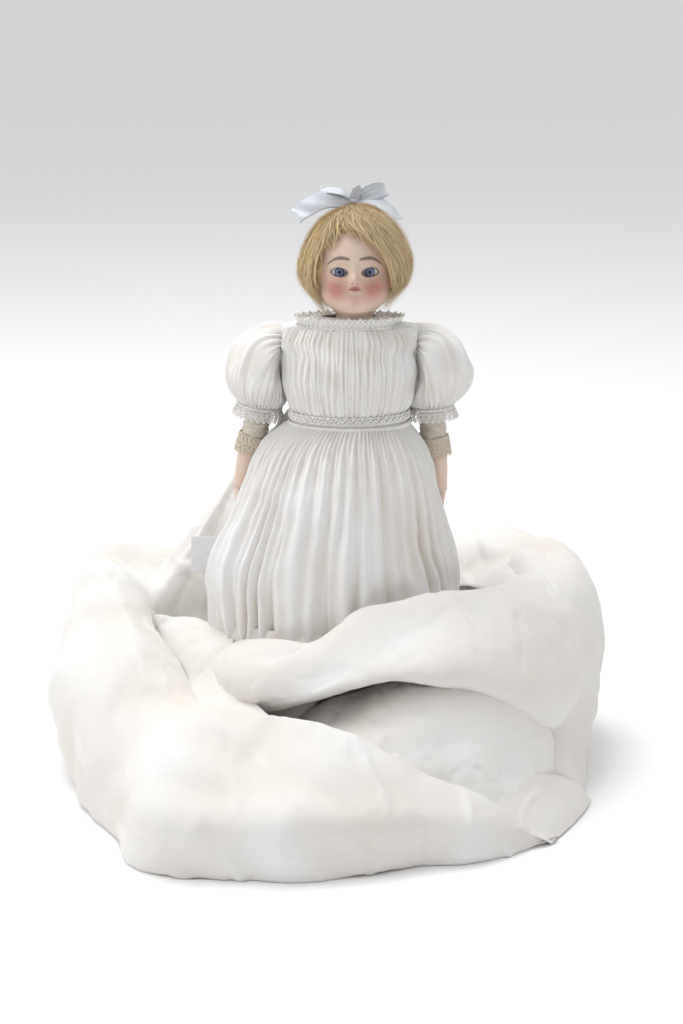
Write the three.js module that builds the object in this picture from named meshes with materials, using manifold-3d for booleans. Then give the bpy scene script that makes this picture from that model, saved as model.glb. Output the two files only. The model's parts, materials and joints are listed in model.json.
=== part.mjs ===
// A dressed bisque shoulder-head doll in a long white gown, held upright by a wire waist stand
// under the skirt. Millimetres, +Z up, the doll looks along -Y, and her own right is at -X.
// The origin is on the table, in the middle of the stand's base.
import * as THREE from 'three';
import { mergeVertices } from 'three/addons/utils/BufferGeometryUtils.js';
import Module from 'manifold-3d';

const wasm = await Module();
wasm.setup();

// ---- Driving dimensions -------------------------------------------------------------------
const gap = 0.5; // air left between pieces that touch on the real doll
const bodyDepth = 0.72; // front-to-back size of the body and bodice over their width

const baseRadius = 55;
const baseThickness = 8;
const postRadius = 3;
const postSocketDepth = 5;
const clipThickness = 1.6;
const clipHeight = 7;
const clipDrop = 29; // the clip grips the hips this far below the waist
const clipOpening = 0.62; // half-angle of the clip's mouth, radians

const footGap = 5; // the soles hang this far above the stand's base
const shinLength = 97;
const thighLength = 95;
const hipToWaist = 47;
const waistToShoulder = 51;
const shoulderToChin = 24;

const waistHalfWidth = 33; // the stuffed body at the waist
const chestHalfWidth = 38;
const legSpread = 19.5; // each leg's centre from the middle
const thighRadius = 16;
const kneeRadius = 11;
const calfRadius = 12;
const ankleRadius = 7.5;
const footLength = 34;
const footHeight = 13;

const headHalfWidth = 27;
const headHeight = 62;
const headDepth = 1.06; // the head's front-to-back size over its width
const neckRadius = 13.5;
const plateHalfWidth = 36; // the shoulder plate at its lower rim
const bisqueWall = 2.2;
const crownRadius = 14; // the opening that the pate closes
const eyeRadius = 7;
const eyeSpacing = 10.2; // each eye's centre from the middle of the face
const eyeOpening = 5.2; // half the width of an eye's opening
const hairThickness = 9;

const clothWall = 1.6; // thickness given to the dress fabric
const bodiceFullness = 5; // how far the gathered front stands off the body
const braidRadius = 1.1;
const bandHeight = 12; // the waistband covers the seam of bodice and skirt

const upperArmLength = 62;
const foreArmLength = 45; // elbow to wrist
const armRadius = 9.5;
const foreArmRadius = 6;
const wristRadius = 4;
const handLength = 14;
const cuffRadius = 18;
const cuffHeight = 9;
const cuffRise = 14; // the sleeve's cuff sits this far above the elbow
const laceTop = -5; // the forearm's lace starts this far below the elbow
const laceLength = 14;
const puffSize = new THREE.Vector3(20, 26, 34);
const armToeOut = 0.21; // each arm's hinge leans back by this much, so the arm swings outward, radians
const armBack = 2; // how far behind its hinge's line each shoulder sits
const shoulderStub = 8; // radius of the arm's sewn end, inside the armhole

const trainRadius = 190; // mean radius of the gown's train where it meets the table
const trainWall = 6;
const foldTop = 135; // height of the train's top fold behind the doll

// Levels, each from the one below it.
const soleZ = baseThickness + footGap;
const kneeZ = soleZ + shinLength;
const hipZ = kneeZ + thighLength;
const waistZ = hipZ + hipToWaist;
const shoulderZ = waistZ + waistToShoulder;
const chinZ = shoulderZ + shoulderToChin;
const headZ = chinZ + headHeight / 2;
const crownZ = chinZ + headHeight;

// Layers at the waist, as half-widths from the body outwards.
const clipInner = waistHalfWidth + gap;
const clipOuter = clipInner + clipThickness;
const petticoatInner = waistHalfWidth + gap;
const petticoatOuter = petticoatInner + clothWall;
const gownInner = petticoatOuter + gap;
const gownOuter = gownInner + clothWall;
const bandInner = gownOuter + gap;
const bandOuter = bandInner + clothWall;

// ---- Materials ----------------------------------------------------------------------------
const material = (color, roughness, metalness = 0) =>
  new THREE.MeshStandardMaterial({ color, roughness, metalness });
const bisque = material(0xe9c9b8, 0.5);
const kid = material(0xcfc0a2, 0.75);
const cotton = material(0xf2f0ec, 0.9);
const lace = material(0xefebe4, 0.9);
const oldLace = material(0xc9b894, 0.9);
const mohair = material(0xc9a566, 0.6);
const satin = material(0xb9c4d4, 0.35);
const glass = material(0x5f78b4, 0.05);
const plaster = material(0xe6e0d4, 0.9);
const cork = material(0xb08a5a, 0.9);
const wood = material(0x6d4a2e, 0.6);
const steel = material(0xb8b8b8, 0.35, 0.9);
const card = material(0xdcdad8, 0.85);
const pearl = material(0xf0ece4, 0.3);

const doll = new THREE.Group();

// ---- Helpers ------------------------------------------------------------------------------
// A closed geometry as a solid that can be joined and cut.
function solid(geometry) {
  const bare = new THREE.BufferGeometry().setAttribute('position', geometry.getAttribute('position'));
  if (geometry.index) bare.setIndex(geometry.index);
  const merged = mergeVertices(bare, 1e-3);
  return new wasm.Manifold(new wasm.Mesh({
    numProp: 3,
    vertProperties: new Float32Array(merged.getAttribute('position').array),
    triVerts: new Uint32Array(merged.index.array),
  }));
}

// A joined or cut solid as a geometry again.
function geometryOf(made) {
  const mesh = made.getMesh();
  return new THREE.BufferGeometry()
    .setAttribute('position', new THREE.BufferAttribute(new Float32Array(mesh.vertProperties), 3))
    .setIndex(new THREE.BufferAttribute(new Uint32Array(mesh.triVerts), 1));
}

// The biggest of the pieces that a cut has left; the rest are slivers.
function largestPiece(made) {
  return made.decompose().sort((a, b) => b.volume() - a.volume())[0];
}

function add(name, geometry, finish, parent = doll) {
  const mesh = new THREE.Mesh(geometry, finish);
  mesh.name = name;
  parent.add(mesh);
  return mesh;
}

// Turns a profile of [radius, height] points about +Z. Closed profiles run up the outside first.
function turned(profile, segments = 24, closed = true) {
  const points = profile.map(([r, z]) => new THREE.Vector2(r, z));
  if (closed) points.push(points[0].clone());
  return new THREE.LatheGeometry(points, segments).rotateX(Math.PI / 2);
}

// A closed wall whose outer side is the given profile and whose inner side lies a wall inside it.
function wall(profile, thickness) {
  const inner = profile.map(([r, z]) => [r - thickness, z]).reverse();
  return [...profile, ...inner];
}

function ball(rx, ry, rz, x = 0, y = 0, z = 0, fine = 18) {
  return new THREE.SphereGeometry(1, fine, Math.round(fine * 0.6))
    .rotateX(Math.PI / 2).scale(rx, ry, rz).translate(x, y, z);
}

// A rod of the given radii between two points.
function rod(from, to, fromRadius, toRadius = fromRadius, sides = 12) {
  const along = new THREE.Vector3().subVectors(to, from);
  const turn = new THREE.Quaternion().setFromUnitVectors(
    new THREE.Vector3(0, 1, 0), along.clone().normalize());
  return new THREE.CylinderGeometry(toRadius, fromRadius, along.length(), sides)
    .translate(0, along.length() / 2, 0).applyQuaternion(turn).translate(from.x, from.y, from.z);
}

const vec = (x, y, z) => new THREE.Vector3(x, y, z);

// Goes smoothly from 0 to 1 as a value goes from one level to another, up or down.
const smooth = (from, to, value) => {
  const share = THREE.MathUtils.clamp((value - from) / (to - from), 0, 1);
  return share * share * (3 - 2 * share);
};

// Moves each point of a geometry by a function of its place.
function reshape(geometry, move) {
  const place = geometry.getAttribute('position');
  const p = vec();
  for (let i = 0; i < place.count; i++) {
    move(p.fromBufferAttribute(place, i));
    place.setXYZ(i, p.x, p.y, p.z);
  }
  return geometry;
}

// ---- Stand --------------------------------------------------------------------------------
const postY = (clipOuter + 1) * bodyDepth + postRadius + gap;

function stand() {
  const edge = 1.5;
  const disc = turned([
    [0, 0], [baseRadius, 0], [baseRadius, baseThickness - edge],
    [baseRadius - edge, baseThickness], [0, baseThickness],
  ], 32, false);
  const socketZ = baseThickness - postSocketDepth;
  const socket = rod(vec(0, postY, socketZ - gap), vec(0, postY, baseThickness + 1), postRadius + gap);
  add('stand_base', geometryOf(solid(disc).subtract(solid(socket))), wood);

  const clipZ = waistZ - clipDrop - clipHeight;
  const postTop = clipZ + clipHeight;
  add('stand_post', rod(vec(0, postY, socketZ), vec(0, postY, postTop), postRadius), steel);

  // The spring clip is a flat strip bent round the waist and open at the front, with a collar on the post.
  const strip = new THREE.Shape();
  const open = -Math.PI / 2;
  strip.absellipse(0, 0, clipOuter, clipOuter * bodyDepth, open + clipOpening, open - clipOpening, false);
  strip.absellipse(0, 0, clipInner, clipInner * bodyDepth, open - clipOpening, open + clipOpening, true);
  const loop = new THREE.ExtrudeGeometry(strip, {
    depth: clipHeight, bevelEnabled: false, curveSegments: 18,
  });
  loop.translate(0, 0, clipZ);
  const collarRadius = postRadius + gap + clipThickness;
  const collar = rod(vec(0, postY, clipZ), vec(0, postY, clipZ + clipHeight), collarRadius);
  const bore = rod(vec(0, postY, clipZ - 1), vec(0, postY, clipZ + clipHeight + 1), postRadius + gap);
  const body = ball(clipInner, clipInner * bodyDepth, 99, 0, 0, clipZ, 48);
  const joined = solid(loop).add(solid(collar).subtract(solid(body)));
  add('stand_clip', geometryOf(joined.subtract(solid(bore))), steel);
}

// ---- Stuffed body and legs ----------------------------------------------------------------
const plateBottomZ = shoulderZ - 11;

function torso() {
  const bisqueSeat = plateHalfWidth - bisqueWall - 2; // fits inside the shoulder plate
  const shape = turned([
    [0, hipZ + 2], [waistHalfWidth - 8, hipZ + 4], [waistHalfWidth, hipZ + 14],
    [waistHalfWidth, waistZ + bandHeight / 2], [chestHalfWidth - 2, waistZ + 18],
    [chestHalfWidth, plateBottomZ - 12], [chestHalfWidth, plateBottomZ - 3],
    [bisqueSeat, plateBottomZ - 1], [bisqueSeat - 2, plateBottomZ + 5],
    [neckRadius, shoulderZ + 2], [0, shoulderZ + 3],
  ], 24, false).scale(1, bodyDepth, 1);
  // The seat is notched where each stuffed leg is sewn on, so that the leg can swing.
  const notches = [-1, 1].map((side) => ball(
    thighRadius + gap, thighRadius + gap, thighRadius + gap, side * legSpread, 0, hipZ));
  let made = solid(shape);
  for (const notch of notches) made = made.subtract(solid(notch));
  add('torso', geometryOf(made), kid);
}

function leg(side, name) {
  const x = side * legSpread;
  const cap = (radius, z) => ball(radius, radius, radius, x, 0, z, 12);
  // Each gusset is a round end turned about its own hinge, so nothing catches as it bends.
  const thigh = solid(cap(thighRadius, hipZ))
    .add(solid(rod(vec(x, 0, hipZ), vec(x, 0, kneeZ + kneeRadius), thighRadius - 0.2, kneeRadius)))
    .subtract(solid(cap(kneeRadius + gap, kneeZ)));
  add(`thigh_${name}`, geometryOf(thigh), kid);
  const ankleZ = soleZ + footHeight;
  const calfZ = kneeZ - shinLength * 0.32;
  const shin = solid(cap(kneeRadius, kneeZ))
    .add(solid(rod(vec(x, 0, calfZ), vec(x, 0, kneeZ), calfRadius, kneeRadius - 0.2)))
    .add(solid(rod(vec(x, 0, ankleZ - 4), vec(x, 0, calfZ), ankleRadius, calfRadius)));
  const foot = ball(ankleRadius + 1.5, footLength / 2, footHeight * 0.62,
    x, ankleRadius - footLength / 2 + 1, soleZ + footHeight * 0.5, 12);
  const under = new THREE.BoxGeometry(60, 90, 30).translate(x, 0, soleZ - 15);
  add(`lower_leg_${name}`, geometryOf(shin.add(solid(foot)).subtract(solid(under))), kid);
}

// ---- Bisque shoulder head -----------------------------------------------------------------
const headX = 3.5; // the head leans a little to one side
const eyeZ = chinZ + headHeight * 0.47;
// Each eye rests against the inside of the face, which is nearly round seen from above.
const faceInside = headHalfWidth * (1 + headDepth) / 2 - bisqueWall;
const eyeY = -Math.sqrt((faceInside - eyeRadius - 0.288) ** 2 - eyeSpacing ** 2);
const crownOpenZ = crownZ - 1;

// The head is deeper than the plate, and leans from the neck up.
function headForm(p) {
  const up = smooth(shoulderZ + 8, chinZ + 10, p.z);
  p.y *= THREE.MathUtils.lerp(bodyDepth, headDepth, up);
  p.x += headX * up;
}

// Half-widths of the head and plate, drawn from the rim of the plate up to the crown.
const plateRise = [
  [1, 0], [0.97, 8], [0.86, 16], [0.66, 23],
].map(([share, rise]) => [plateHalfWidth * share, plateBottomZ + rise]);
const neckRise = [
  [neckRadius + 2.5, plateBottomZ + 28], [neckRadius, chinZ - 2], [neckRadius, chinZ + 4],
];
const skullRise = [
  [0.7, 0.12], [0.91, 0.26], [1, 0.47], [0.98, 0.65], [0.87, 0.82],
].map(([share, rise]) => [headHalfWidth * share, chinZ + headHeight * rise]);
const crownRise = [[(headHalfWidth + crownRadius) / 2 - 1.5, crownZ - 4], [crownRadius, crownOpenZ]];
const headProfile = [...plateRise, ...neckRise, ...skullRise, ...crownRise];

function head() {
  const shell = reshape(turned(wall(headProfile, bisqueWall), 22), headForm);
  let made = solid(shell);
  const faceY = -headHalfWidth * headDepth;
  const nose = ball(2.6, 3.2, 4, headX, faceY + 0.5, chinZ + headHeight * 0.37, 12);
  const chin = ball(6, 4, 5, headX, faceY + 7, chinZ + headHeight * 0.14, 12);
  const hollow = reshape(turned([
    [0, plateBottomZ + 30], ...headProfile.slice(6).map(([r, z]) => [r - bisqueWall, z]), [0, crownZ],
  ], 22, false), headForm);
  made = made.add(solid(nose).add(solid(chin)).subtract(solid(hollow)));
  for (const side of [-1, 1]) {
    const opening = new THREE.CylinderGeometry(1, 1, 14, 20).scale(eyeOpening, 1, eyeOpening * 0.58)
      .translate(headX + side * eyeSpacing, faceY + 3, eyeZ);
    made = made.subtract(solid(opening));
  }
  add('shoulder_head', geometryOf(made), bisque);

  // The pate is a cork dome that plugs the crown, with a lip resting on the bisque.
  const lip = 2.5;
  const pate = reshape(turned([
    [0, crownOpenZ - 3], [crownRadius - bisqueWall - gap, crownOpenZ - 3],
    [crownRadius - bisqueWall - gap, crownOpenZ + gap], [crownRadius + lip, crownOpenZ + gap],
    [crownRadius - 2, crownOpenZ + 3], [0, crownOpenZ + 5],
  ], 24, false), headForm);
  add('pate', pate, cork);

  // Blown glass eyes, held by one block of plaster behind them.
  const block = new THREE.BoxGeometry(2 * eyeSpacing + 10, 9, 11)
    .translate(headX, eyeY + 5, eyeZ);
  let plasterBlock = solid(block);
  for (const [side, name] of [[-1, 'right'], [1, 'left']]) {
    const x = headX + side * eyeSpacing;
    add(`eye_${name}`, ball(eyeRadius, eyeRadius, eyeRadius, x, eyeY, eyeZ, 14), glass);
    plasterBlock = plasterBlock.subtract(solid(
      ball(eyeRadius + gap, eyeRadius + gap, eyeRadius + gap, x, eyeY, eyeZ, 14)));
  }
  add('eye_plaster', geometryOf(plasterBlock), plaster);
}

// ---- Mohair wig and satin ribbon ----------------------------------------------------------
function wig() {
  const reach = headHalfWidth + hairThickness;
  const depth = headHalfWidth * headDepth + hairThickness;
  const crownMass = ball(reach, depth, headHeight / 2 + hairThickness - 1, headX, 2, headZ + 1, 20);
  const sideMass = ball(reach + 3, depth - 8, headHeight * 0.42, headX, 8, headZ - 9, 16);
  const inside = reshape(turned([
    [0, plateBottomZ + 30],
    ...headProfile.slice(5).map(([r, z]) => [r + gap, z]),
    [crownRadius + 3.5, crownOpenZ - 1], [crownRadius + 3.5, crownOpenZ + 1.5],
    [crownRadius + 2, crownOpenZ + 4], [0, crownOpenZ + 6],
  ], 22, false), headForm);
  // The face is open from the fringe down, and the wig ends just under the chin.
  const faceY = -headHalfWidth * headDepth;
  const openings = [
    ball(headHalfWidth * 0.82, 40, headHeight * 0.41, headX, faceY - 18, chinZ + headHeight * 0.33, 16),
    new THREE.BoxGeometry(200, 200, 40).translate(0, 0, chinZ + 1 - 20),
    rod(vec(headX, -40, chinZ), vec(headX, 20, chinZ), neckRadius + 4),
    new THREE.BoxGeometry(headHalfWidth * 1.6, 60, headHeight * 0.4)
      .translate(headX, faceY - 14, chinZ + 2),
  ];
  let made = solid(crownMass).add(solid(sideMass)).subtract(solid(inside));
  for (const opening of openings) made = made.subtract(solid(opening));
  add('wig', geometryOf(largestPiece(made)), mohair);
}

// A flat ribbon bent along a curve: points are its middle line, with the ribbon's width across it.
function ribbon(points, width, thickness = 0.9) {
  const across = new THREE.Shape();
  across.moveTo(-width / 2, -thickness / 2);
  across.lineTo(width / 2, -thickness / 2);
  across.lineTo(width / 2, thickness / 2);
  across.lineTo(-width / 2, thickness / 2);
  return new THREE.ExtrudeGeometry(across, {
    steps: 10, bevelEnabled: false, extrudePath: new THREE.CatmullRomCurve3(points.map((p) => vec(...p))),
  });
}

function hairRibbon() {
  // The bow sits behind the top of the hair, which has curved down less there on a bigger head.
  const backY = 14;
  const bowLift = 2.8;
  const hairTop = crownZ + hairThickness;
  const hairReach = headHalfWidth * headDepth + hairThickness;
  const curvedDown = (hairTop - headZ) / 2 * (backY / hairReach) ** 2;
  const topZ = hairTop - curvedDown + bowLift;
  add('ribbon_knot', ball(3.6, 3, 3, headX - 1, backY, topZ + 1.5, 12), satin);
  add('ribbon_right', ribbon([
    [headX - 5.5, backY, topZ + 3.8], [headX - 19, backY - 3, topZ + 4.5],
    [headX - 32, backY - 8, topZ + 0.5], [headX - 43, backY - 10, topZ - 8],
  ], 13), satin);
  add('ribbon_left', ribbon([
    [headX + 3.5, backY, topZ + 2.5], [headX + 9, backY - 2, topZ + 9],
    [headX + 20, backY - 2, topZ + 6], [headX + 28, backY, topZ - 7],
  ], 9), satin);
}

// ---- Bodice, waistband and trimming -------------------------------------------------------
const bodiceWidest = chestHalfWidth + bodiceFullness + 2.5; // half-width at the armholes
const bodiceLow = Math.max(gownOuter + bodiceFullness, chestHalfWidth) - 1.5; // just above the waistband
const neckHalfWidth = plateHalfWidth - 5;
const neckZ = shoulderZ + 15.5;
const bodiceProfile = [
  [gownOuter, waistZ], [gownOuter, waistZ + bandHeight / 2 + gap],
  [bodiceLow, waistZ + bandHeight],
  [bodiceWidest, waistZ + 30], [bodiceWidest, shoulderZ - 4],
  [bodiceWidest - 3.5, shoulderZ + 5], [plateHalfWidth, shoulderZ + 12],
  [neckHalfWidth, neckZ],
];
const buttonRadius = 2.6;
const armholeX = bodiceWidest + gap; // where each sleeve meets the bodice
const shoulderReach = armholeX + armRadius + 1; // the arm's hinge, clear of the bodice

// The bodice's greatest half-width within a button's reach of a height.
function bodiceHalfWidth(height) {
  const at = (z) => {
    const above = bodiceProfile.findIndex(([, level]) => level >= z);
    const [[r0, z0], [r1, z1]] = bodiceProfile.slice(above - 1, above + 1);
    return THREE.MathUtils.mapLinear(z, z0, z1, r0, r1);
  };
  return Math.max(at(height - buttonRadius), at(height + buttonRadius));
}

function bodice() {
  const shell = turned(wall(bodiceProfile, clothWall), 24).scale(1, bodyDepth, 1);
  let made = solid(shell);
  for (const side of [-1, 1]) {
    const hole = rod(vec(side * (plateHalfWidth - 4), armBack, shoulderZ),
      vec(side * 70, armBack, shoulderZ), shoulderStub + 2).rotateZ(side * armToeOut);
    made = made.subtract(solid(hole));
  }
  add('bodice', geometryOf(made), cotton);

  const ring = (outer, inner, low, high, segments = 24) => turned([
    [outer, low], [outer, high], [inner, high], [inner, low]], segments).scale(1, bodyDepth, 1);
  const onNeck = neckHalfWidth + gap + 1.4;
  const neckBandTop = neckZ + 2.2;
  add('neck_band', ring(onNeck + clothWall, onNeck, neckZ - 1, neckBandTop), cotton);
  const laceFoot = neckBandTop + gap;
  add('neck_lace', turned([
    [onNeck + 1.6, laceFoot], [onNeck + 3, laceFoot + 4], [onNeck + 1.8, laceFoot + 4], [onNeck, laceFoot],
  ], 24).scale(1, bodyDepth, 1), lace);

  add('waistband', ring(bandOuter, bandInner, waistZ - bandHeight / 2, waistZ + bandHeight / 2), cotton);
  const braidAt = bandOuter + braidRadius + gap * 1.5;
  const braidOffset = bandHeight / 4;
  for (const [name, offset] of [['waist_braid_upper', braidOffset], ['waist_braid_lower', -braidOffset]]) {
    const braid = new THREE.TorusGeometry(braidAt, braidRadius, 5, 24).scale(1, bodyDepth, 1);
    add(name, braid.translate(0, 0, waistZ + offset), lace);
  }

  // Three small buttons close the back.
  const buttonStep = 13;
  for (let i = 0; i < 3; i++) {
    const z = waistZ + 16 + i * buttonStep;
    const away = bodiceHalfWidth(z) * bodyDepth + gap;
    add(`back_button_${i + 1}`, rod(vec(0, away, z), vec(0, away + 1.4, z), buttonRadius, 2.2), pearl);
  }
}

// ---- Skirt, train and petticoat -----------------------------------------------------------
// How far the train lies from the middle at the table, in twelve directions anticlockwise from +X.
const trainOutline = [178, 197, 178, 150, 166, 214, 211, 208, 230, 205, 200, 182];
const trainMean = trainOutline.reduce((sum, reach) => sum + reach, 0) / trainOutline.length;

function trainReach(angle) {
  const count = trainOutline.length;
  const at = ((angle / (2 * Math.PI)) * count + count) % count;
  const before = Math.floor(at) % count;
  const share = smooth(0, 1, at - Math.floor(at));
  return THREE.MathUtils.lerp(trainOutline[before], trainOutline[(before + 1) % count], share)
    * trainRadius / trainMean;
}

const skirtFull = 82; // half-width of the skirt where it meets the train
const valley = skirtFull + 9; // middle of the hollow between the skirt and the train's first fold
const skirtSides = 32; // both turned skirts have their corners at the same angles, so they nest
const skirtLean = 7; // the skirt hangs this far towards the doll's right
const hemRise = 50; // the petticoat ends this far above the table

// How far the cloth has fallen from the flat oval of the waist to the skirt's full round.
const fallen = (z) => smooth(waistZ - bandHeight / 2 - gap, waistZ - 70, z);

// Opens the turned skirt out into the train's outline, lower in front than behind.
function skirtForm(p) {
  const flat = Math.hypot(p.x, p.y);
  const angle = Math.atan2(p.y, p.x);
  const down = fallen(p.z);
  const out = smooth(valley, trainRadius, flat);
  const reach = flat <= valley ? flat
    : valley + (flat - valley) * (trainReach(angle) - valley) / (trainRadius - valley);
  p.x = reach * Math.cos(angle) - skirtLean * down * (1 - out);
  p.y = reach * Math.sin(angle) * THREE.MathUtils.lerp(bodyDepth, 1, down);
  p.z *= 1 - 0.7 * out * smooth(0.2, 0.9, -Math.sin(angle));
}

function petticoatForm(p) {
  const down = fallen(p.z);
  p.x -= skirtLean * down;
  p.y *= THREE.MathUtils.lerp(bodyDepth, 1, down);
}

function skirt() {
  const top = waistZ - gap;
  // Half-widths from the table, up over the train's top fold, down into the hollow, and up to the waist.
  const train = [
    [trainRadius - 3, 0], [trainRadius, 16], [trainRadius - 4, 44],
    [trainRadius - 18, foldTop * 0.66], [trainRadius - 42, foldTop - 6],
    [valley + 22, foldTop], [valley, foldTop - 14], [skirtFull - 2, foldTop - 2],
  ];
  const fall = [
    [skirtFull - 9, waistZ - 82], [skirtFull - 19, waistZ - 56], [skirtFull - 29, waistZ - 30],
    [gownOuter + 7, waistZ - 15], [gownOuter, waistZ - bandHeight / 2 - gap], [gownOuter, top],
  ];
  const inside = [
    ...train.map(([r, z], i) => [r - trainWall, Math.max(0, z - (i > 1 ? trainWall : 0))]),
    ...fall.map(([r, z], i) => [
      r - THREE.MathUtils.lerp(trainWall - 2, clothWall, i / (fall.length - 1)), z,
    ]),
  ].reverse();
  add('skirt', reshape(turned([...train, ...fall, ...inside], skirtSides), skirtForm), cotton);

  const petticoat = wall([
    [68, hemRise], [66, foldTop - 22], [62, waistZ - 82], [skirtFull - 28, waistZ - 56],
    [skirtFull - 35.5, waistZ - 30], [petticoatOuter + 2, waistZ - 15],
    [petticoatOuter, waistZ - bandHeight / 2 - gap], [petticoatOuter, top],
  ], clothWall);
  add('petticoat', reshape(turned(petticoat, skirtSides), petticoatForm), cotton);
}

// ---- Arms with puffed sleeves -------------------------------------------------------------
const elbowGap = 1.3; // the stuffed elbow turns in a hollow this much larger
const cuffRoom = 2.3; // between the waistband and a cuff that hangs beside it

// An upper arm leans out by its own angle, or by as much as the gown at the waist holds it out.
function upperArmLean(ownLean) {
  const cuffDown = upperArmLength - cuffRise + cuffHeight / 2;
  const heldOut = Math.asin((bandOuter + cuffRadius + cuffRoom - shoulderReach) / cuffDown);
  return Math.max(ownLean, heldOut);
}

function hand(side) {
  const palm = solid(ball(4.4, 3, 5, 0, 0, -4, 12));
  const fingers = solid(ball(3.7, 2.2, 5.5, -side * 0.6, 0, -handLength + 5.5, 12));
  const thumb = solid(rod(vec(side * 2.2, 0, -2), vec(side * 5, -0.5, -handLength + 5), 1.6, 1.1, 8));
  return palm.add(fingers).add(thumb);
}

// side is -1 for the doll's right arm; splay and bend lean the upper arm and forearm outward.
function arm(side, name, splay, bend) {
  // The armhole's own frame, turned about the upright axis so that its X lies along the hinge.
  const armhole = new THREE.Group();
  armhole.rotation.z = side * armToeOut;
  armhole.position.set(side * shoulderReach, armBack, 0).applyAxisAngle(vec(0, 0, 1), side * armToeOut);
  armhole.position.z = shoulderZ;
  doll.add(armhole);
  const upper = new THREE.Group();
  upper.rotation.y = -side * splay;
  armhole.add(upper);
  const inArm = new THREE.Matrix4().makeRotationY(side * splay);

  const reachIn = shoulderReach - plateHalfWidth - 3.5;
  const sewnEnd = (radius, length) =>
    rod(vec(0, 0, 0), vec(-side * length, 0, 0), radius).applyMatrix4(inArm);
  const joint = (radius, z) => ball(radius, radius, radius, 0, 0, z, 12);
  const kidArm = solid(joint(armRadius, 0))
    .add(solid(rod(vec(0, 0, 0), vec(0, 0, -upperArmLength), armRadius - 0.2, armRadius)))
    .add(solid(sewnEnd(shoulderStub - 1, reachIn)))
    .subtract(solid(joint(armRadius + elbowGap, -upperArmLength)));
  add(`upper_arm_${name}`, geometryOf(kidArm), kid, upper);

  const cuffZ = -upperArmLength + cuffRise;
  const puff = ball(puffSize.x, puffSize.y, puffSize.z, side * 4, 0, -puffSize.z * 0.46, 16);
  // Room for the arm, its sewn end, the bodice beyond the armhole, and the cuff below the seam.
  const bodySide = new THREE.BoxGeometry(100, 160, 160)
    .translate(-side * (50 + shoulderReach - armholeX - gap), 0, 0).applyMatrix4(inArm);
  const belowCuff = new THREE.BoxGeometry(90, 90, 60)
    .translate(0, 0, cuffZ + cuffHeight / 2 + gap - 30);
  const room = [
    rod(vec(0, 0, 0), vec(0, 0, -upperArmLength - 20), armRadius + gap),
    joint(armRadius + gap, 0), sewnEnd(shoulderStub - 1 + gap, 30), bodySide, belowCuff,
  ];
  let sleeve = solid(puff);
  for (const cut of room) sleeve = sleeve.subtract(solid(cut));
  add(`sleeve_${name}`, geometryOf(largestPiece(sleeve)), cotton, upper);

  const cuffIn = armRadius + 2;
  add(`sleeve_cuff_${name}`, turned([
    [cuffRadius, cuffZ - cuffHeight / 2], [cuffRadius - 3, cuffZ + cuffHeight / 2],
    [cuffIn, cuffZ + cuffHeight / 2], [cuffIn, cuffZ - cuffHeight / 2],
  ]), lace, upper);

  const lower = new THREE.Group();
  lower.position.set(0, 0, -upperArmLength);
  lower.rotation.y = -side * bend;
  upper.add(lower);
  // The kid forearm is a sleeve that the bisque arm is glued into.
  const kidEnd = -16;
  const glueDepth = 6;
  const kidCuff = solid(joint(armRadius, 0))
    .add(solid(rod(vec(0, 0, 0), vec(0, 0, kidEnd), armRadius - 0.2, armRadius - 1.5)))
    .subtract(solid(rod(vec(0, 0, kidEnd + glueDepth), vec(0, 0, kidEnd - 1), foreArmRadius + gap)));
  add(`kid_cuff_${name}`, geometryOf(kidCuff), kid, lower);
  const laceIn = armRadius + gap;
  add(`arm_lace_${name}`, turned([
    [laceIn + 1.2, laceTop - laceLength], [laceIn + 0.8, laceTop],
    [laceIn, laceTop], [laceIn, laceTop - laceLength],
  ], 20), oldLace, lower);
  const gluedEnd = vec(0, 0, kidEnd + glueDepth - gap);
  const bisqueArm = solid(rod(vec(0, 0, -foreArmLength), gluedEnd, wristRadius, foreArmRadius))
    .add(hand(side).translate([0, 0, -foreArmLength + 1]));
  add(`forearm_${name}`, geometryOf(bisqueArm), bisque, lower);
}

// A blank card tag hangs beside the doll's right hand on a thread tied round the wrist. The route
// is the thread's middle line, from the wrist to the eyelet, and both stay as they are drawn here.
const threadRoute = [
  [-84.4, 14, 196], [-86, 13.6, 195.2], [-87.5, 13.2, 193.8], [-88.8, 12.8, 191.8], [-89.9, 12.4, 189.4],
  [-90.8, 12, 186.8], [-91.6, 11.6, 184], [-92.3, 11.2, 181.2], [-93, 10.9, 178.4], [-93.8, 10.6, 175.7],
  [-94.7, 10.4, 173.1], [-95.7, 10.2, 170.8], [-96.9, 10.1, 168.9], [-98.1, 10, 167.3], [-99.2, 10, 165.6],
].map((p) => vec(...p));
const threadRadius = 0.4;
const tagSize = new THREE.Vector3(21, 0.5, 27);

function tag() {
  const section = new THREE.Shape().absarc(0, 0, threadRadius, 0, 2 * Math.PI);
  add('tag_thread', new THREE.ExtrudeGeometry(section, {
    steps: 16, curveSegments: 4, bevelEnabled: false, extrudePath: new THREE.CatmullRomCurve3(threadRoute),
  }), card);
  const end = threadRoute[threadRoute.length - 1];
  const mesh = add('card_tag', new THREE.BoxGeometry(tagSize.x, tagSize.y, tagSize.z), card);
  mesh.position.set(end.x - 2, end.y, end.z - tagSize.z / 2 - gap * 2);
}

stand();
torso();
leg(-1, 'right');
leg(1, 'left');
head();
wig();
hairRibbon();
bodice();
skirt();
arm(-1, 'right', upperArmLean(0.17), 0.12);
arm(1, 'left', upperArmLean(0.06), 0.09);
tag();

export default doll;
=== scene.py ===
"""A dressed bisque doll in a long white gown, standing on a hidden waist stand.

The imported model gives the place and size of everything, in metres, +Z up. The doll looks along -Y,
and her own right is at -X.
"""

import json
import math

import bpy
import numpy as np
from mathutils import Matrix, Vector


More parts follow.
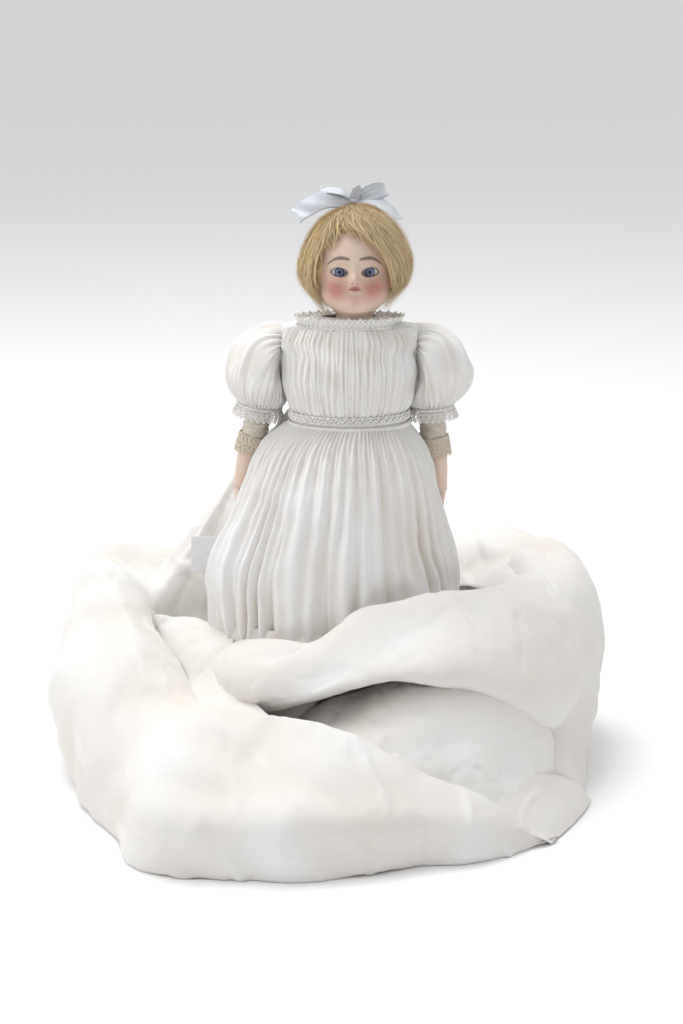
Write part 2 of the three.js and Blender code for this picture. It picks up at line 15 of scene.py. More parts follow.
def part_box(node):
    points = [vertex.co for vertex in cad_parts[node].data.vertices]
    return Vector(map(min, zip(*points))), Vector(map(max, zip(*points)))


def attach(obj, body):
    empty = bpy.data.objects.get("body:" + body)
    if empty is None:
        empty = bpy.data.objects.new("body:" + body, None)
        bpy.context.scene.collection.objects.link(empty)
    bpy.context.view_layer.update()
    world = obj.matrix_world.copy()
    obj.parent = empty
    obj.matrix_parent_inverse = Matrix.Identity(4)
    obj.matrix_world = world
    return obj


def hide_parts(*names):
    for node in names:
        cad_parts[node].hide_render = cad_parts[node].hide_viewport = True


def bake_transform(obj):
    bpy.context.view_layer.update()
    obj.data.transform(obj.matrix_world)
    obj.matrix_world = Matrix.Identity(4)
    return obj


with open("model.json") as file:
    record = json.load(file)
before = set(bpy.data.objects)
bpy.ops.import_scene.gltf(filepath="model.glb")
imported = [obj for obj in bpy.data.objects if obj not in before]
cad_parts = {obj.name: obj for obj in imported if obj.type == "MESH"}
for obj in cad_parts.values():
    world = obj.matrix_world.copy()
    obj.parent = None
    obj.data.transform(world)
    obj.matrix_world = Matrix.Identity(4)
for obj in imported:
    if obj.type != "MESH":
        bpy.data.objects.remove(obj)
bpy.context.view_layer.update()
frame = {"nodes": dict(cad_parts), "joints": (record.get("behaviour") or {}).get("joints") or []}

MM = 0.001
nodes = frame["nodes"]


# ---- Camera ------------------------------------------------------------------------------------
# A long portrait lens a little above the doll, aimed at the middle of the gown's front.
whole_low, whole_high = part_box("skirt")
aim = Vector((-5.3 * MM, 0, 185 * MM))
distance = 1.392
pitch = math.radians(15)
camera = bpy.data.objects.new("camera", bpy.data.cameras.new("camera"))
camera.data.sensor_fit = "VERTICAL"
camera.data.sensor_height = 36
camera.data.lens = 70
camera.location = aim + Vector((0, -distance * math.cos(pitch), distance * math.sin(pitch)))
camera.rotation_euler = (math.pi / 2 - pitch, 0, 0)
camera.data.clip_end = 30
bpy.context.scene.collection.objects.link(camera)
bpy.context.scene.camera = camera


# ---- Tag and its thread ------------------------------------------------------------------------
# A blank card tag on a soft cotton thread that is tied round the doll's right wrist. The thread
# hangs out over the hand and runs through the top of the card.


def piece(name, points, faces, body, slot, replaces=(), uv=None):
    """A mesh object in the row frame from an (n, 3) array of points and an (m, 4) or (m, 3) array of
    faces; uv is an (n, 2) array in metres along the surface, kept per vertex."""
    mesh = bpy.data.meshes.new(name)
    points = np.asarray(points, float).reshape(-1, 3)
    faces = np.asarray(faces, int)
    mesh.vertices.add(len(points))
    mesh.vertices.foreach_set("co", points.astype(np.float32).ravel())
    sides = faces.shape[1]
    mesh.loops.add(faces.size)
    mesh.loops.foreach_set("vertex_index", faces.ravel())
    mesh.polygons.add(len(faces))
    mesh.polygons.foreach_set("loop_start", np.arange(len(faces)) * sides)
    if uv is not None:
        layer = mesh.uv_layers.new(name="UVMap")
        layer.data.foreach_set("uv", np.asarray(uv, float).reshape(-1, 2)[faces.ravel()].ravel())
    mesh.update(calc_edges=True)
    mesh.validate()
    mesh.shade_smooth()
    made = bpy.data.objects.new(name, mesh)
    bpy.context.scene.collection.objects.link(made)
    if body:
        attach(made, body)
    if replaces:
        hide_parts(*replaces)
    return made


def grid_faces(rows, columns, round_rows=False, round_columns=False):
    """Quads over a rows x columns grid of points, closing on itself along either direction."""
    r = np.arange(rows if round_rows else rows - 1)
    c = np.arange(columns if round_columns else columns - 1)
    r, c = np.meshgrid(r, c, indexing="ij")
    below, right = (r + 1) % rows, (c + 1) % columns
    corners = [r * columns + c, r * columns + right, below * columns + right, below * columns + c]
    return np.stack([corner.ravel() for corner in corners], 1)


def curve(points, count):
    """Catmull-Rom: count points spaced evenly in parameter through the given ones, along axis 0."""
    points = np.asarray(points, float)
    n = len(points)
    t = np.linspace(0, n - 1, count)
    i = np.minimum(t.astype(int), n - 2)
    f = (t - i).reshape(-1, *[1] * (points.ndim - 1))
    p1, p2 = points[i], points[i + 1]
    p0 = np.where((i > 0).reshape(f.shape), points[np.maximum(i - 1, 0)], 2 * p1 - p2)
    p3 = np.where((i < n - 2).reshape(f.shape), points[np.minimum(i + 2, n - 1)], 2 * p2 - p1)
    return 0.5 * (2 * p1 + (p2 - p0) * f + (2 * p0 - 5 * p1 + 4 * p2 - p3) * f**2
                  + (3 * p1 - p0 - 3 * p2 + p3) * f**3)


def flat_uv(grid):
    """UV in metres: the mean distance walked along the rows and along the columns of a grid."""
    along = np.linalg.norm(np.diff(grid, axis=0), axis=-1).mean(1)
    across = np.linalg.norm(np.diff(grid, axis=1), axis=-1).mean(0)
    v = np.concatenate([[0], np.cumsum(along)])
    u = np.concatenate([[0], np.cumsum(across)])
    return np.stack(np.meshgrid(v, u, indexing="ij"), -1)[..., ::-1]


def thicken(made, thickness, offset=-1):
    """Gives a sheet its wall, inwards from its outer side."""
    wall = made.modifiers.new("wall", "SOLIDIFY")
    wall.thickness = thickness
    wall.offset = offset
    return made


class Wire:
    """A shader socket that takes part in sums: + - * and ** each add a Math node, so that a pattern
    reads as the formula that it is."""

    def __init__(self, finish, socket):
        self.finish, self.socket = finish, socket

    def math(self, operation, *others):
        return self.finish.node("Math", {"operation": operation}, dict(enumerate((self, *others))))

    def reflected(self, operation, other):
        return self.finish.node("Math", {"operation": operation}, {0: other, 1: self})

    def __add__(self, other):
        return self.math("ADD", other)

    def __sub__(self, other):
        return self.math("SUBTRACT", other)

    def __mul__(self, other):
        return self.math("MULTIPLY", other)

    def __pow__(self, other):
        return self.math("POWER", other)

    def __rsub__(self, other):
        return self.reflected("SUBTRACT", other)

    def __rpow__(self, other):
        return self.reflected("POWER", other)

    __radd__, __rmul__ = __add__, __mul__

    def above(self, low, high):
        """0 up to low, 1 from high on, smooth between."""
        return self.finish.node("MapRange", {"interpolation_type": "SMOOTHSTEP"},
                                {"Value": self, "From Min": low, "From Max": high})

    def sine(self):
        return self.math("SINE")


class Finish:
    """A material under construction: a Principled shader whose own sockets hold the constants, and one
    method, node, that adds any other node."""

    def __init__(self, name, **constants):
        self.material = bpy.data.materials.new(name)
        self.material.use_nodes = True
        self.tree = self.material.node_tree
        self.shader = self.tree.nodes["Principled BSDF"]
        for socket, value in constants.items():
            self.shader.inputs[socket.replace("_", " ")].default_value = value
        self.bumps = None

    def node(self, kind, settings=None, inputs=None, output=0):
        """A node of the type ShaderNodeKIND, its settings made first, then its values and links; the
        result is a Wire on one of its outputs."""
        made = self.tree.nodes.new("ShaderNode" + kind)
        for key, value in (settings or {}).items():
            if key == "stops":
                ramp = made.color_ramp
                while len(ramp.elements) < len(value):
                    ramp.elements.new(0.5)
                for element, (place, colour) in zip(ramp.elements, value):
                    element.position, element.color = place, (*colour, 1)
            else:
                setattr(made, key, value)
        for key, value in (inputs or {}).items():
            socket = made.inputs[key]
            if isinstance(value, Wire):
                self.tree.links.new(value.socket, socket)
            else:
                socket.default_value = value
        return Wire(self, made.outputs[output])

    def place(self, kind="Object"):
        return self.node("TexCoord", output=kind)

    def axes(self, where):
        split = self.node("SeparateXYZ", inputs={0: where}).socket.node
        return [Wire(self, split.outputs[i]) for i in range(3)]

    def noise(self, scale, detail=3.0, where=None, rough=0.5, stretch=None):
        """Noise from 0 to 1 whose cells are about 1 / scale metres; stretch scales each axis first."""
        where = where or self.place()
        if stretch:
            where = self.node("Mapping", inputs={"Vector": where, "Scale": stretch})
        return self.node("TexNoise",
                         inputs={"Vector": where, "Scale": scale, "Detail": detail, "Roughness": rough})

    def mix(self, share, a, b):
        """Colour a where share is 0, colour b where it is 1."""
        a, b = ((*c, 1) if isinstance(c, tuple) and len(c) == 3 else c for c in (a, b))
        made = self.node("Mix", {"data_type": "RGBA"}, {"Factor": share}).socket.node
        for index, value in ((6, a), (7, b)):
            if isinstance(value, Wire):
                self.tree.links.new(value.socket, made.inputs[index])
            else:
                made.inputs[index].default_value = value
        return Wire(self, made.outputs[2])

    def bump(self, height, depth, strength=1.0):
        """Adds relief: height 1 stands depth metres proud."""
        inputs = {"Height": height, "Distance": depth, "Strength": strength}
        if self.bumps is not None:
            inputs["Normal"] = self.bumps
        self.bumps = self.node("Bump", inputs=inputs)

    def finished(self, **links):
        for socket, value in links.items():
            self.tree.links.new(value.socket, self.shader.inputs[socket.replace("_", " ")])
        if self.bumps is not None:
            self.tree.links.new(self.bumps.socket, self.shader.inputs["Normal"])
        return self.material


def paint(made, material):
    """One material over a whole piece, in place of what it had."""
    made.data.materials.clear()
    made.data.materials.append(material)
    return made


THREAD = np.array([
    (-84.4, 14, 196), (-86, 13.6, 195.2), (-87.5, 13.2, 193.8), (-88.8, 12.8, 191.8), (-89.9, 12.4, 189.4),
    (-90.8, 12, 186.8), (-91.6, 11.6, 184), (-92.3, 11.2, 181.2), (-93, 10.9, 178.4), (-93.8, 10.6, 175.7),
    (-94.7, 10.4, 173.1), (-95.7, 10.2, 170.8), (-96.9, 10.1, 168.9), (-98.1, 10, 167.3),
    (-99.2, 10, 165.6),
]) * MM
thread_thickness = 0.8 * MM


def tube(route, radius, sides=8, closed=False):
    """A tube along a route of points: a ring at each point, square to the way the route runs there,
    turned as little as possible from the ring before. radius is one number or one for each point."""
    route = np.asarray(route, float)
    way = (np.roll(route, -1, 0) - np.roll(route, 1, 0)) if closed else np.gradient(route, axis=0)
    way /= np.maximum(np.linalg.norm(way, axis=1, keepdims=True), 1e-12)
    lean = np.array([0.0, 0.0, 1.0]) if abs(way[:, 2]).mean() < 0.8 else np.array([1.0, 0.0, 0.0])
    side = np.cross(way, lean)
    side /= np.maximum(np.linalg.norm(side, axis=1, keepdims=True), 1e-9)
    up = np.cross(side, way)
    angle = np.linspace(0, 2 * math.pi, sides, endpoint=False)
    reach = np.broadcast_to(np.asarray(radius, float), (len(route),)).reshape(-1, 1, 1)
    ring = side[:, None] * np.cos(angle)[None, :, None] + up[:, None] * np.sin(angle)[None, :, None]
    return route[:, None] + ring * reach


def tube_faces(rings, sides, closed=False):
    """The quads of a tube of rings, and a flat fan-free cap at each open end as a strip of quads."""
    faces = grid_faces(rings, sides, closed, True)
    if closed:
        return faces
    half = sides // 2
    k = np.arange(half - 1)
    start = np.stack([k, (sides - 1 - k) % sides, (sides - 2 - k) % sides, k + 1], 1)
    last = (rings - 1) * sides
    end = np.stack([last + k, last + k + 1, last + (sides - 2 - k) % sides, last + (sides - 1 - k) % sides],
                   1)
    return np.concatenate([faces, start, end])


twine = Finish("cotton_thread", Base_Color=(0.86, 0.83, 0.78, 1), Roughness=0.9, Sheen_Weight=0.3)
ply = (twine.axes(twine.place())[2] * 5200.0).sine()
twine.bump(ply, 0.00012)
twine.finished(Base_Color=twine.mix(ply * 0.25 + 0.4, (0.72, 0.68, 0.62), (0.93, 0.91, 0.87)))
thread_route = curve(THREAD, 60)
thread = piece("wrist_thread", tube(thread_route, thread_thickness / 2, 8), tube_faces(60, 8),
               "forearm_right_body",
               "tag_thread", ["tag_thread"])
paint(thread, twine.material)

card_low, card_high = (np.array(c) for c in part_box("card_tag"))
across, down = np.meshgrid(np.linspace(0, 1, 24), np.linspace(0, 1, 30), indexing="xy")
card_middle, card_size = (card_low + card_high) / 2, card_high - card_low
fold = 0.06 * np.abs(across - 0.42) + 0.03 * np.sin(2.2 * down + 1) * across
card_points = np.stack([
    card_low[0] + across * card_size[0],
    card_middle[1] + (fold - 0.03) * card_size[0],
    card_high[2] - down * card_size[2],
], -1)
tag = piece("paper_tag", card_points, grid_faces(30, 24), "forearm_right_body", "tag_card", ["card_tag"],
            flat_uv(card_points))
thicken(tag, 0.4 * MM, 0)
paper = Finish("tag_card", Base_Color=(0.93, 0.93, 0.94, 1), Roughness=0.85)
pulp = paper.noise(900.0, 4.0)
paper.bump(pulp, 0.00005)
paper.finished(Base_Color=paper.mix(pulp.above(0.35, 0.75), (0.83, 0.83, 0.845), (0.76, 0.76, 0.77)))
paint(tag, paper.material)


# ---- Table, backdrop and light -----------------------------------------------------------------
# A wide white table and a pale backdrop under soft studio light: one large lamp overhead, a second
# from her right and a weak fill from her left.
table_out = np.array([0.0, 0.5, 1, 2, 4, 8, 16, 80, 400])[:, None]
table_turn = np.linspace(0, 2 * math.pi, 48, endpoint=False)[None]
table_points = np.stack([table_out * np.cos(table_turn), table_out * np.sin(table_turn),
                         0 * table_out * table_turn], -1)
white_table = piece("white_table", table_points, grid_faces(9, 48, False, True), None, None)
paper_roll = Finish("studio_paper", Roughness=0.9, Specular_IOR_Level=0.1)
far_x, far_y, _ = paper_roll.axes(paper_roll.place())
far_off = (far_x * far_x + far_y * far_y) ** 0.5
nearness = (far_off + 2.4) ** -1.0 * 2.4
paper_roll.finished(Base_Color=paper_roll.mix(nearness, (0.95, 0.95, 0.96), (0.95, 0.95, 0.955)))
paint(white_table, paper_roll.material)


def soft_box(name, place, size, watts):
    """A rectangular lamp, its two sides given by size, aimed at the doll's skirt."""
    light = bpy.data.lights.new(name, "AREA")
    light.shape, light.size, light.size_y, light.energy = "RECTANGLE", size[0], size[1], watts
    made = bpy.data.objects.new(name, light)
    made.location = place
    made.rotation_euler = (Vector(place) - Vector((0, 0, 0.15))).to_track_quat("Z", "Y").to_euler()
    bpy.context.scene.collection.objects.link(made)


soft_box("overhead", (-0.35, 0.45, 2.1), (1.3, 1.1), 25)
soft_box("left_window", (-2.0, -0.4, 1.6), (1.0, 1.2), 14)
soft_box("right_fill", (2.0, -1.0, 1.3), (1.4, 1.4), 3)
world = bpy.data.worlds.new("studio")
world.use_nodes = True
sky = world.node_tree
way_up = sky.nodes.new("ShaderNodeTexCoord")
split_way = sky.nodes.new("ShaderNodeSeparateXYZ")
sky_ramp = sky.nodes.new("ShaderNodeValToRGB")
sky_ramp.color_ramp.elements[0].position, sky_ramp.color_ramp.elements[0].color = 0.1, (0.30, 0.305, 0.32,
                                                                                        1)
sky_ramp.color_ramp.elements[1].position, sky_ramp.color_ramp.elements[1].color = 0.75, (1.0, 1.0, 1.0, 1)
seen = sky.nodes.new("ShaderNodeLightPath")
behind = sky.nodes.new("ShaderNodeMix")
behind.data_type = "RGBA"
behind.inputs["B"].default_value = (0.79, 0.79, 0.805, 1)
sky.links.new(way_up.outputs["Generated"], split_way.inputs[0])
sky.links.new(split_way.outputs[2], sky_ramp.inputs[0])
sky.links.new(sky_ramp.outputs[0], behind.inputs["A"])
sky.links.new(seen.outputs["Is Camera Ray"], behind.inputs["Factor"])
sky.links.new(behind.outputs["Result"], sky.nodes["Background"].inputs["Color"])
sky.nodes["Background"].inputs["Strength"].default_value = 0.82
bpy.context.scene.world = world
bpy.context.scene.view_settings.view_transform = "Standard"


# ---- Gown: cotton lawn -------------------------------------------------------------------------
# The gown is fine white cotton lawn, gone slightly cream with age; down in the folds it carries
# painted shade, darker and warmer, as of light coming through several layers of cloth.
cotton_cloth = 0.7 * MM
narrowest_sheet = 10 * MM  # a narrower strip is tape, not a sheet


def lawn(name, white=(0.86, 0.855, 0.845), cream_and_fold_shade=(0.76, 0.70, 0.62), thread=0.00055):
    """Plain-woven cotton: threads each way along the UV map, slubs, faint age toning, and painted
    fold shadows, darker and warmer, that the piece keeps in its 'fold' attribute, 0 on ridges and 1 in
    valleys."""
    cloth = Finish(name, Roughness=0.92, Sheen_Weight=0.25, Sheen_Roughness=0.5, Specular_IOR_Level=0.25)
    u, v, _ = cloth.axes(cloth.place("UV"))
    turn = 2 * math.pi / thread
    weave = (u * turn).sine() * (v * turn).sine() * 0.5 + 0.5
    slub = cloth.noise(260.0, 3.0, stretch=(1.0, 1.0, 0.25))
    crumple = cloth.noise(70.0, 5.0, rough=0.62)
    age = cloth.noise(14.0, 4.0)
    cloth.bump(crumple, 0.0006, 0.6)
    cloth.bump(slub, 0.0003, 0.5)
    cloth.bump(weave, 0.00012, 0.6)
    # Painted fold shade from the 'fold' attribute; age noise and the weave add a little real toning.
    fold = cloth.node("Attribute", {"attribute_name": "fold"}, output=2)
    fold_shade_and_age = (fold * 0.8 + (age.above(0.42, 0.78)) * 0.16 + (1 - weave) * 0.05)
    cloth.finished(Base_Color=cloth.mix(fold_shade_and_age, white, cream_and_fold_shade),
                   Roughness=cloth.node("MapRange", inputs={"Value": slub, "To Min": 0.84, "To Max": 0.98}))
    return cloth.material


gown_cotton = lawn("gown_cotton_lawn")
design_low, design_high = np.array([-209, -208, 0]) * MM, np.array([175, 157, 258]) * MM
gown_scale = (np.array(whole_high) - np.array(whole_low)) / (design_high - design_low)
gown_scale[2] = 1.0


def in_gown(points):
    """Millimetres round the doll's axis, stretched with the size of the modelled skirt."""
    return np.asarray(points, float) * MM * gown_scale


def normals(grid, round_columns=False):
    """Unit normals of a grid of points: the cross product of its two central differences."""
    across = np.roll(grid, -1, 1) - np.roll(grid, 1, 1) if round_columns else np.gradient(grid, axis=1)
    n = np.cross(across, np.gradient(grid, axis=0))
    return n / np.maximum(np.linalg.norm(n, axis=-1, keepdims=True), 1e-12)


def ripple(p, size, seed, turns=7):
    """Smooth noise from -1 to 1: the mean of sine waves in random directions, of wavelengths about
    size, at the points p."""
    rng = np.random.default_rng(seed)
    ways = rng.normal(size=(turns, 3))
    ways *= 2 * math.pi / size * rng.uniform(0.6, 1.5, (turns, 1)) / np.linalg.norm(ways, axis=1,
                                                                                    keepdims=True)
    waves = np.sin(p @ ways.T + rng.uniform(0, 2 * math.pi, turns))
    return waves.sum(-1) / math.sqrt(turns)


def area_of(grid, round_columns=False):
    """The area of a grid surface: the sum of its quads' cross products."""
    if round_columns:
        grid = np.concatenate([grid, grid[:, :1]], 1)
    a = grid[1:, 1:] - grid[:-1, :-1]
    b = grid[1:, :-1] - grid[:-1, 1:]
    return float(np.linalg.norm(np.cross(a, b), axis=-1).sum() / 2)


def ridges(p, size, seed):
    """Creases: 1 on thin crooked lines about size apart, falling away to 0 between them."""
    return np.exp(-np.abs(ripple(p, size, seed)) * 4.5)


def cloth(name, grid, held, outward, fold=None, rests_on=("petticoat",), body="doll", material=None,
          replaced=("skirt",), slot="gown_cotton", around=False, cut=None):
    """A grid of points as a sheet of cloth whose outer side faces the way of the vectors outward."""
    facing = (normals(grid, round_columns=around) * outward).sum(-1).mean() > 0
    uv = flat_uv(grid)
    faces = grid_faces(*grid.shape[:2], False, around)
    made = piece(name, grid, faces if facing else faces[:, ::-1], body, slot, replaced, uv)
    # fold is painted shade, 0 on ridges and 1 in valleys, kept in the 'fold' attribute.
    shade = made.data.attributes.new("fold", "FLOAT", "POINT")
    shade.data.foreach_set("value", np.zeros(grid.shape[:2]).ravel() if fold is None else np.clip(fold, 0,
                                                                                                  1).ravel())
    thicken(made, cotton_cloth)
    paint(made, material or gown_cotton)
    size = cut or tuple(round(float(x), 3) for x in (uv[..., 0].max() - uv[..., 0].min(),
                                                     uv[..., 1].max() - uv[..., 1].min()))
    area = area_of(grid, round_columns=around)
    if min(size) < narrowest_sheet:
        return made
    min(size[0] * size[1], area)
    return made


def planes(p, size, seed, turns=5):
    """Like ripple, but of nearly triangular waves: flat slopes that meet along crisp lines."""
    rng = np.random.default_rng(seed)
    ways = rng.normal(size=(turns, 3))
    ways *= 2 * math.pi / size * rng.uniform(0.6, 1.5, (turns, 1)) / np.linalg.norm(ways, axis=1,
                                                                                    keepdims=True)
    waves = np.arcsin(0.985 * np.sin(p @ ways.T + rng.uniform(0, 2 * math.pi, turns)))
    return waves.sum(-1) / math.sqrt(turns) * 0.64


def crumpled(grid, seed, swell=2.0, crease=1.0, fine=0.15, way=None, folds=0.0):
    """Moves a sheet along its normals: soft swells, folds that run along the way given (a phase for
    each point, one fold for each turn), sharp creases and fine crumples. Also gives how deep each
    point lies."""
    n = normals(grid)
    lift = planes(grid, 105 * MM, seed) * swell * 2.2 + planes(grid, 42 * MM, seed + 1) * swell * 0.7
    pinched = planes(grid + np.stack([ripple(grid, 60 * MM, seed + k) for k in (8, 9, 10)], -1) * 6 * MM,
                     30 * MM, seed + 12, 3)
    lift = lift + np.maximum(pinched - 0.55, 0) * swell * 1.6
    if way is not None:
        lift = lift + folds * np.arcsin(0.97 * np.cos(way)) * 0.7
    bent = grid + np.stack([ripple(grid, 40 * MM, seed + k) for k in (5, 6, 7)], -1) * 9 * MM
    lift = lift + (ridges(bent, 95 * MM, seed + 2) - 0.2) * crease
    lift = lift + (ridges(bent, 60 * MM, seed + 4) - 0.2) * crease * 0.5
    lift = lift + ripple(grid, 11 * MM, seed + 3, 11) * fine
    return grid + n * lift[..., None] * MM, lift


# ---- Train: the heap of gown on the table ------------------------------------------------------
# The long skirt of a christening gown, heaped round the doll on the table: a ring of cloth that
# rises from its hem on the table to a crest, and falls inwards behind it.
TRAIN = {
    -47: ((180, 1), (198, .5), (200, 2), (199, 4), (196, 6), (190, 5), (184, 2)),
    -60: ((177, 1), (189, 0), (192, 8), (189, 23), (173, 31), (164, 24), (158, 10)),
    -75: ((175, 1), (187, 0), (190, 14), (186, 37), (158, 55), (148, 50), (138, 30)),
    -89: ((188, 1), (200, 0), (202, 17), (197, 44), (151, 66), (139, 63), (124, 44)),
    -106: ((196, 1), (208, 0), (211, 18), (204, 47), (145, 79), (130, 76), (112, 58)),
    -122: ((218, 1), (230, 0), (230, 18), (221, 46), (156, 83), (135, 80), (115, 62)),
    -140: ((194, 1), (206, 0), (208, 15), (200, 45), (165, 88), (140, 86), (118, 70)),
    -155: ((188, 1), (200, 0), (206, 20), (202, 60), (165, 104), (142, 100), (122, 80)),
    -170: ((184, 1), (196, 0), (206, 30), (203, 75), (165, 118), (142, 112), (125, 88)),
    -183: ((184, 1), (196, 0), (210, 35), (208, 85), (178, 128), (150, 118), (130, 92)),
    -198: ((186, 1), (198, 0), (212, 35), (213, 95), (196, 140), (165, 122), (140, 95)),
    -214: ((188, 1), (200, 0), (212, 35), (212, 90), (195, 132), (165, 118), (138, 98)),
    -235: ((160, 1), (172, 0), (180, 30), (178, 75), (160, 112), (135, 108), (115, 85)),
    -262: ((136, 1), (148, 0), (158, 28), (156, 65), (140, 100), (120, 100), (104, 80)),
    -290: ((140, 1), (152, 0), (162, 30), (160, 75), (142, 115), (120, 112), (104, 90)),
    -312: ((160, 1), (172, 0), (182, 30), (182, 85), (162, 138), (135, 132), (112, 105)),
    -332: ((170, 1), (182, 0), (192, 35), (193, 95), (172, 146), (140, 140), (112, 112)),
    -346: ((166, 1), (178, 0), (188, 35), (190, 90), (172, 138), (142, 138), (112, 116)),
    -362: ((156, 1), (168, 0), (176, 25), (178, 70), (160, 122), (136, 130), (112, 112)),
    -380: ((158, 1), (170, 0), (174, 12), (170, 40), (152, 80), (132, 85), (112, 75)),
    -392: ((166, 1), (178, 0), (179, 5), (172, 20), (158, 44), (140, 54), (120, 50)),
    -404: ((160, 1), (172, 0), (173, 4), (167, 16), (152, 34), (136, 42), (118, 40)),
}
SASH = {
    25: ((118, 110), (128, 135), (138, 146), (152, 140), (168, 118), (176, 95), (172, 75)),
    5: ((110, 112), (125, 132), (140, 138), (158, 128), (172, 105), (176, 85), (168, 65)),
    -15: ((92, 118), (106, 136), (120, 142), (142, 128), (158, 98), (166, 66), (155, 48)),
    -30: ((84, 112), (92, 134), (102, 144), (126, 130), (148, 100), (161, 58), (148, 45)),
    -49: ((74, 112), (80, 134), (88, 145), (112, 134), (138, 112), (146, 92), (132, 84)),
    -70: ((66, 108), (70, 130), (78, 141), (100, 132), (124, 116), (129, 103), (114, 96)),
    -89: ((62, 100), (67, 122), (75, 134), (96, 128), (118, 112), (122, 99), (108, 90)),
    -105: ((74, 88), (80, 108), (90, 120), (106, 114), (120, 100), (123, 88), (110, 80)),
    -122: ((77, 92), (83, 107), (93, 117), (109, 108), (121, 97), (123, 85), (110, 72)),
    -145: ((70, 86), (77, 100), (87, 108), (101, 101), (111, 88), (112, 74), (100, 60)),
    -165: ((62, 74), (69, 86), (78, 93), (89, 88), (97, 77), (97, 65), (88, 52)),
    -180: ((54, 60), (60, 70), (68, 76), (76, 72), (82, 64), (82, 55), (74, 44)),
}


def swept(guides, rows, columns):
    """Sections of (reach, height) at angles round the doll, lofted in angle and then turned round her
    axis; gives the points, and the angle of each."""
    angles = np.array(list(guides), float)
    sections = np.array([guides[a] for a in guides], float)
    across = np.stack([curve(section, columns) for section in sections])
    spun = curve(np.concatenate([across, np.broadcast_to(angles[:, None, None], (*across.shape[:2], 1))],
                                -1), rows)
    angle = np.radians(spun[..., 2])
    return in_gown(np.stack([spun[..., 0] * np.cos(angle), spun[..., 0] * np.sin(angle), spun[..., 1]],
                            -1)), angle


def radial(grid):
    """Vectors outwards from the doll's axis, and up."""
    out = grid * np.array([1, 1, 0])
    return out / np.maximum(np.linalg.norm(out, axis=-1, keepdims=True), 1e-9) + np.array([0, 0, 0.8])


def on_table(grid):
    """Nothing lies lower than the table."""
    grid[..., 2] = np.maximum(grid[..., 2], 0.4 * MM)
    return grid


ring, ring_angle = swept(TRAIN, 460, 84)
up_the_ring = np.linspace(0, 1, 84)[None]
drift = 0.5 * np.sin(ring_angle * 2 + 1) * up_the_ring
gathers = (ring_angle + drift) * 17 + 2.6 * np.sin(ring_angle * 4 + up_the_ring * 2.5)
gather_size = 0.9 * np.sin(math.pi * np.clip(up_the_ring * 1.05, 0, 1)) * (0.55
                                                                           + 0.45 * np.sin(ring_angle * 7))
ring, ring_depth = crumpled(ring, 11, 1.7, 0.8, 0.08, way=gathers, folds=gather_size)
cloth("train_heap", on_table(ring), "laid", radial(ring), 0.42 - ring_depth / 14)

sash, sash_angle = swept(SASH, 330, 70)
along_sash = np.linspace(0, 1, 70)[None]
twist = along_sash * 15 + sash_angle * 2.2 + 0.8 * np.sin(sash_angle * 4)
sash, sash_depth = crumpled(sash, 31, 1.2, 0.8, 0.08, way=twist, folds=1.2 * np.sin(math.pi * along_sash))
cloth("train_sash", sash, "folded", radial(sash), 0.4 - sash_depth / 12)

# Between the skirt and the heap the cloth sinks into a valley, under the crests on both sides.
def skirt_reach(angle):
    """How far the skirt's low edge stands from the axis: an oval's radius, moved with its centre."""
    c, s = math.cos(math.radians(angle)), math.sin(math.radians(angle))
    return 1 / math.hypot(c / 86, s / (58 if s < 0 else 76)) - 10 * c - 8 * s


VALLEY = {
    angle: ((skirt_reach(angle) - 4, 116), (skirt_reach(angle) + 5, 92),
            (0.55 * skirt_reach(angle) + 0.45 * section[6][0], 0.35 * section[6][1] + 38),
            (section[6][0], section[6][1] - 7),
            (section[5][0] + 8, section[5][1] - 12))
    for angle, section in TRAIN.items() if angle <= -106
}
valley, valley_angle = swept(VALLEY, 330, 46)
valley, valley_depth = crumpled(valley, 41, 1.4, 0.8, 0.08,
                                way=valley_angle * 24 + 2 * np.sin(5 * valley_angle), folds=1.6)
cloth("train_valley", valley, "laid", np.array([0, 0, 1.0]), 0.5 - valley_depth / 11)


# ---- Skirt: the fall from the waist -------------------------------------------------------------
# The gown's skirt gathered into the waistband in about a hundred tiny gathers, which run together
# into some three dozen soft folds as the cloth fans out over the petticoat.
FALL = ((252, 38.5, 28, 28, 0, 0), (246, 45, 34, 34, -2, 0), (238, 53, 41, 42, -4, 0),
        (226, 60, 46, 50, -5, -1),
        (203, 68, 54, 60, -6, -2), (170, 78, 58, 66, -9, -4), (145, 85, 58, 72, -10, -6),
        (120, 86, 58, 76, -10, -8),
        (95, 84, 55, 76, -10, -8), (78, 80, 52, 73, -10, -8),
        (60, 74, 47, 67, -10, -8))


def smooth(low, high, value):
    """0 below low, 1 above high, and a smooth step between."""
    t = np.clip((np.asarray(value, float) - low) / (high - low), 0, 1)
    return t * t * (3 - 2 * t)


def fall(rows, columns):
    """Ellipses with their own half-width, front and back depth and centre at each height."""
    h, a, front, back, cx, cy = np.moveaxis(curve(np.array(FALL, float), rows), -1, 0)[..., None]
    t = np.linspace(0, 2 * math.pi, columns, endpoint=False)[None]
    x = cx + a * np.cos(t)
    y = cy + np.sin(t) * np.where(np.sin(t) > 0, back, front)
    return in_gown(np.stack(np.broadcast_arrays(x, y, h), -1)), np.broadcast_to(t, (rows, columns))


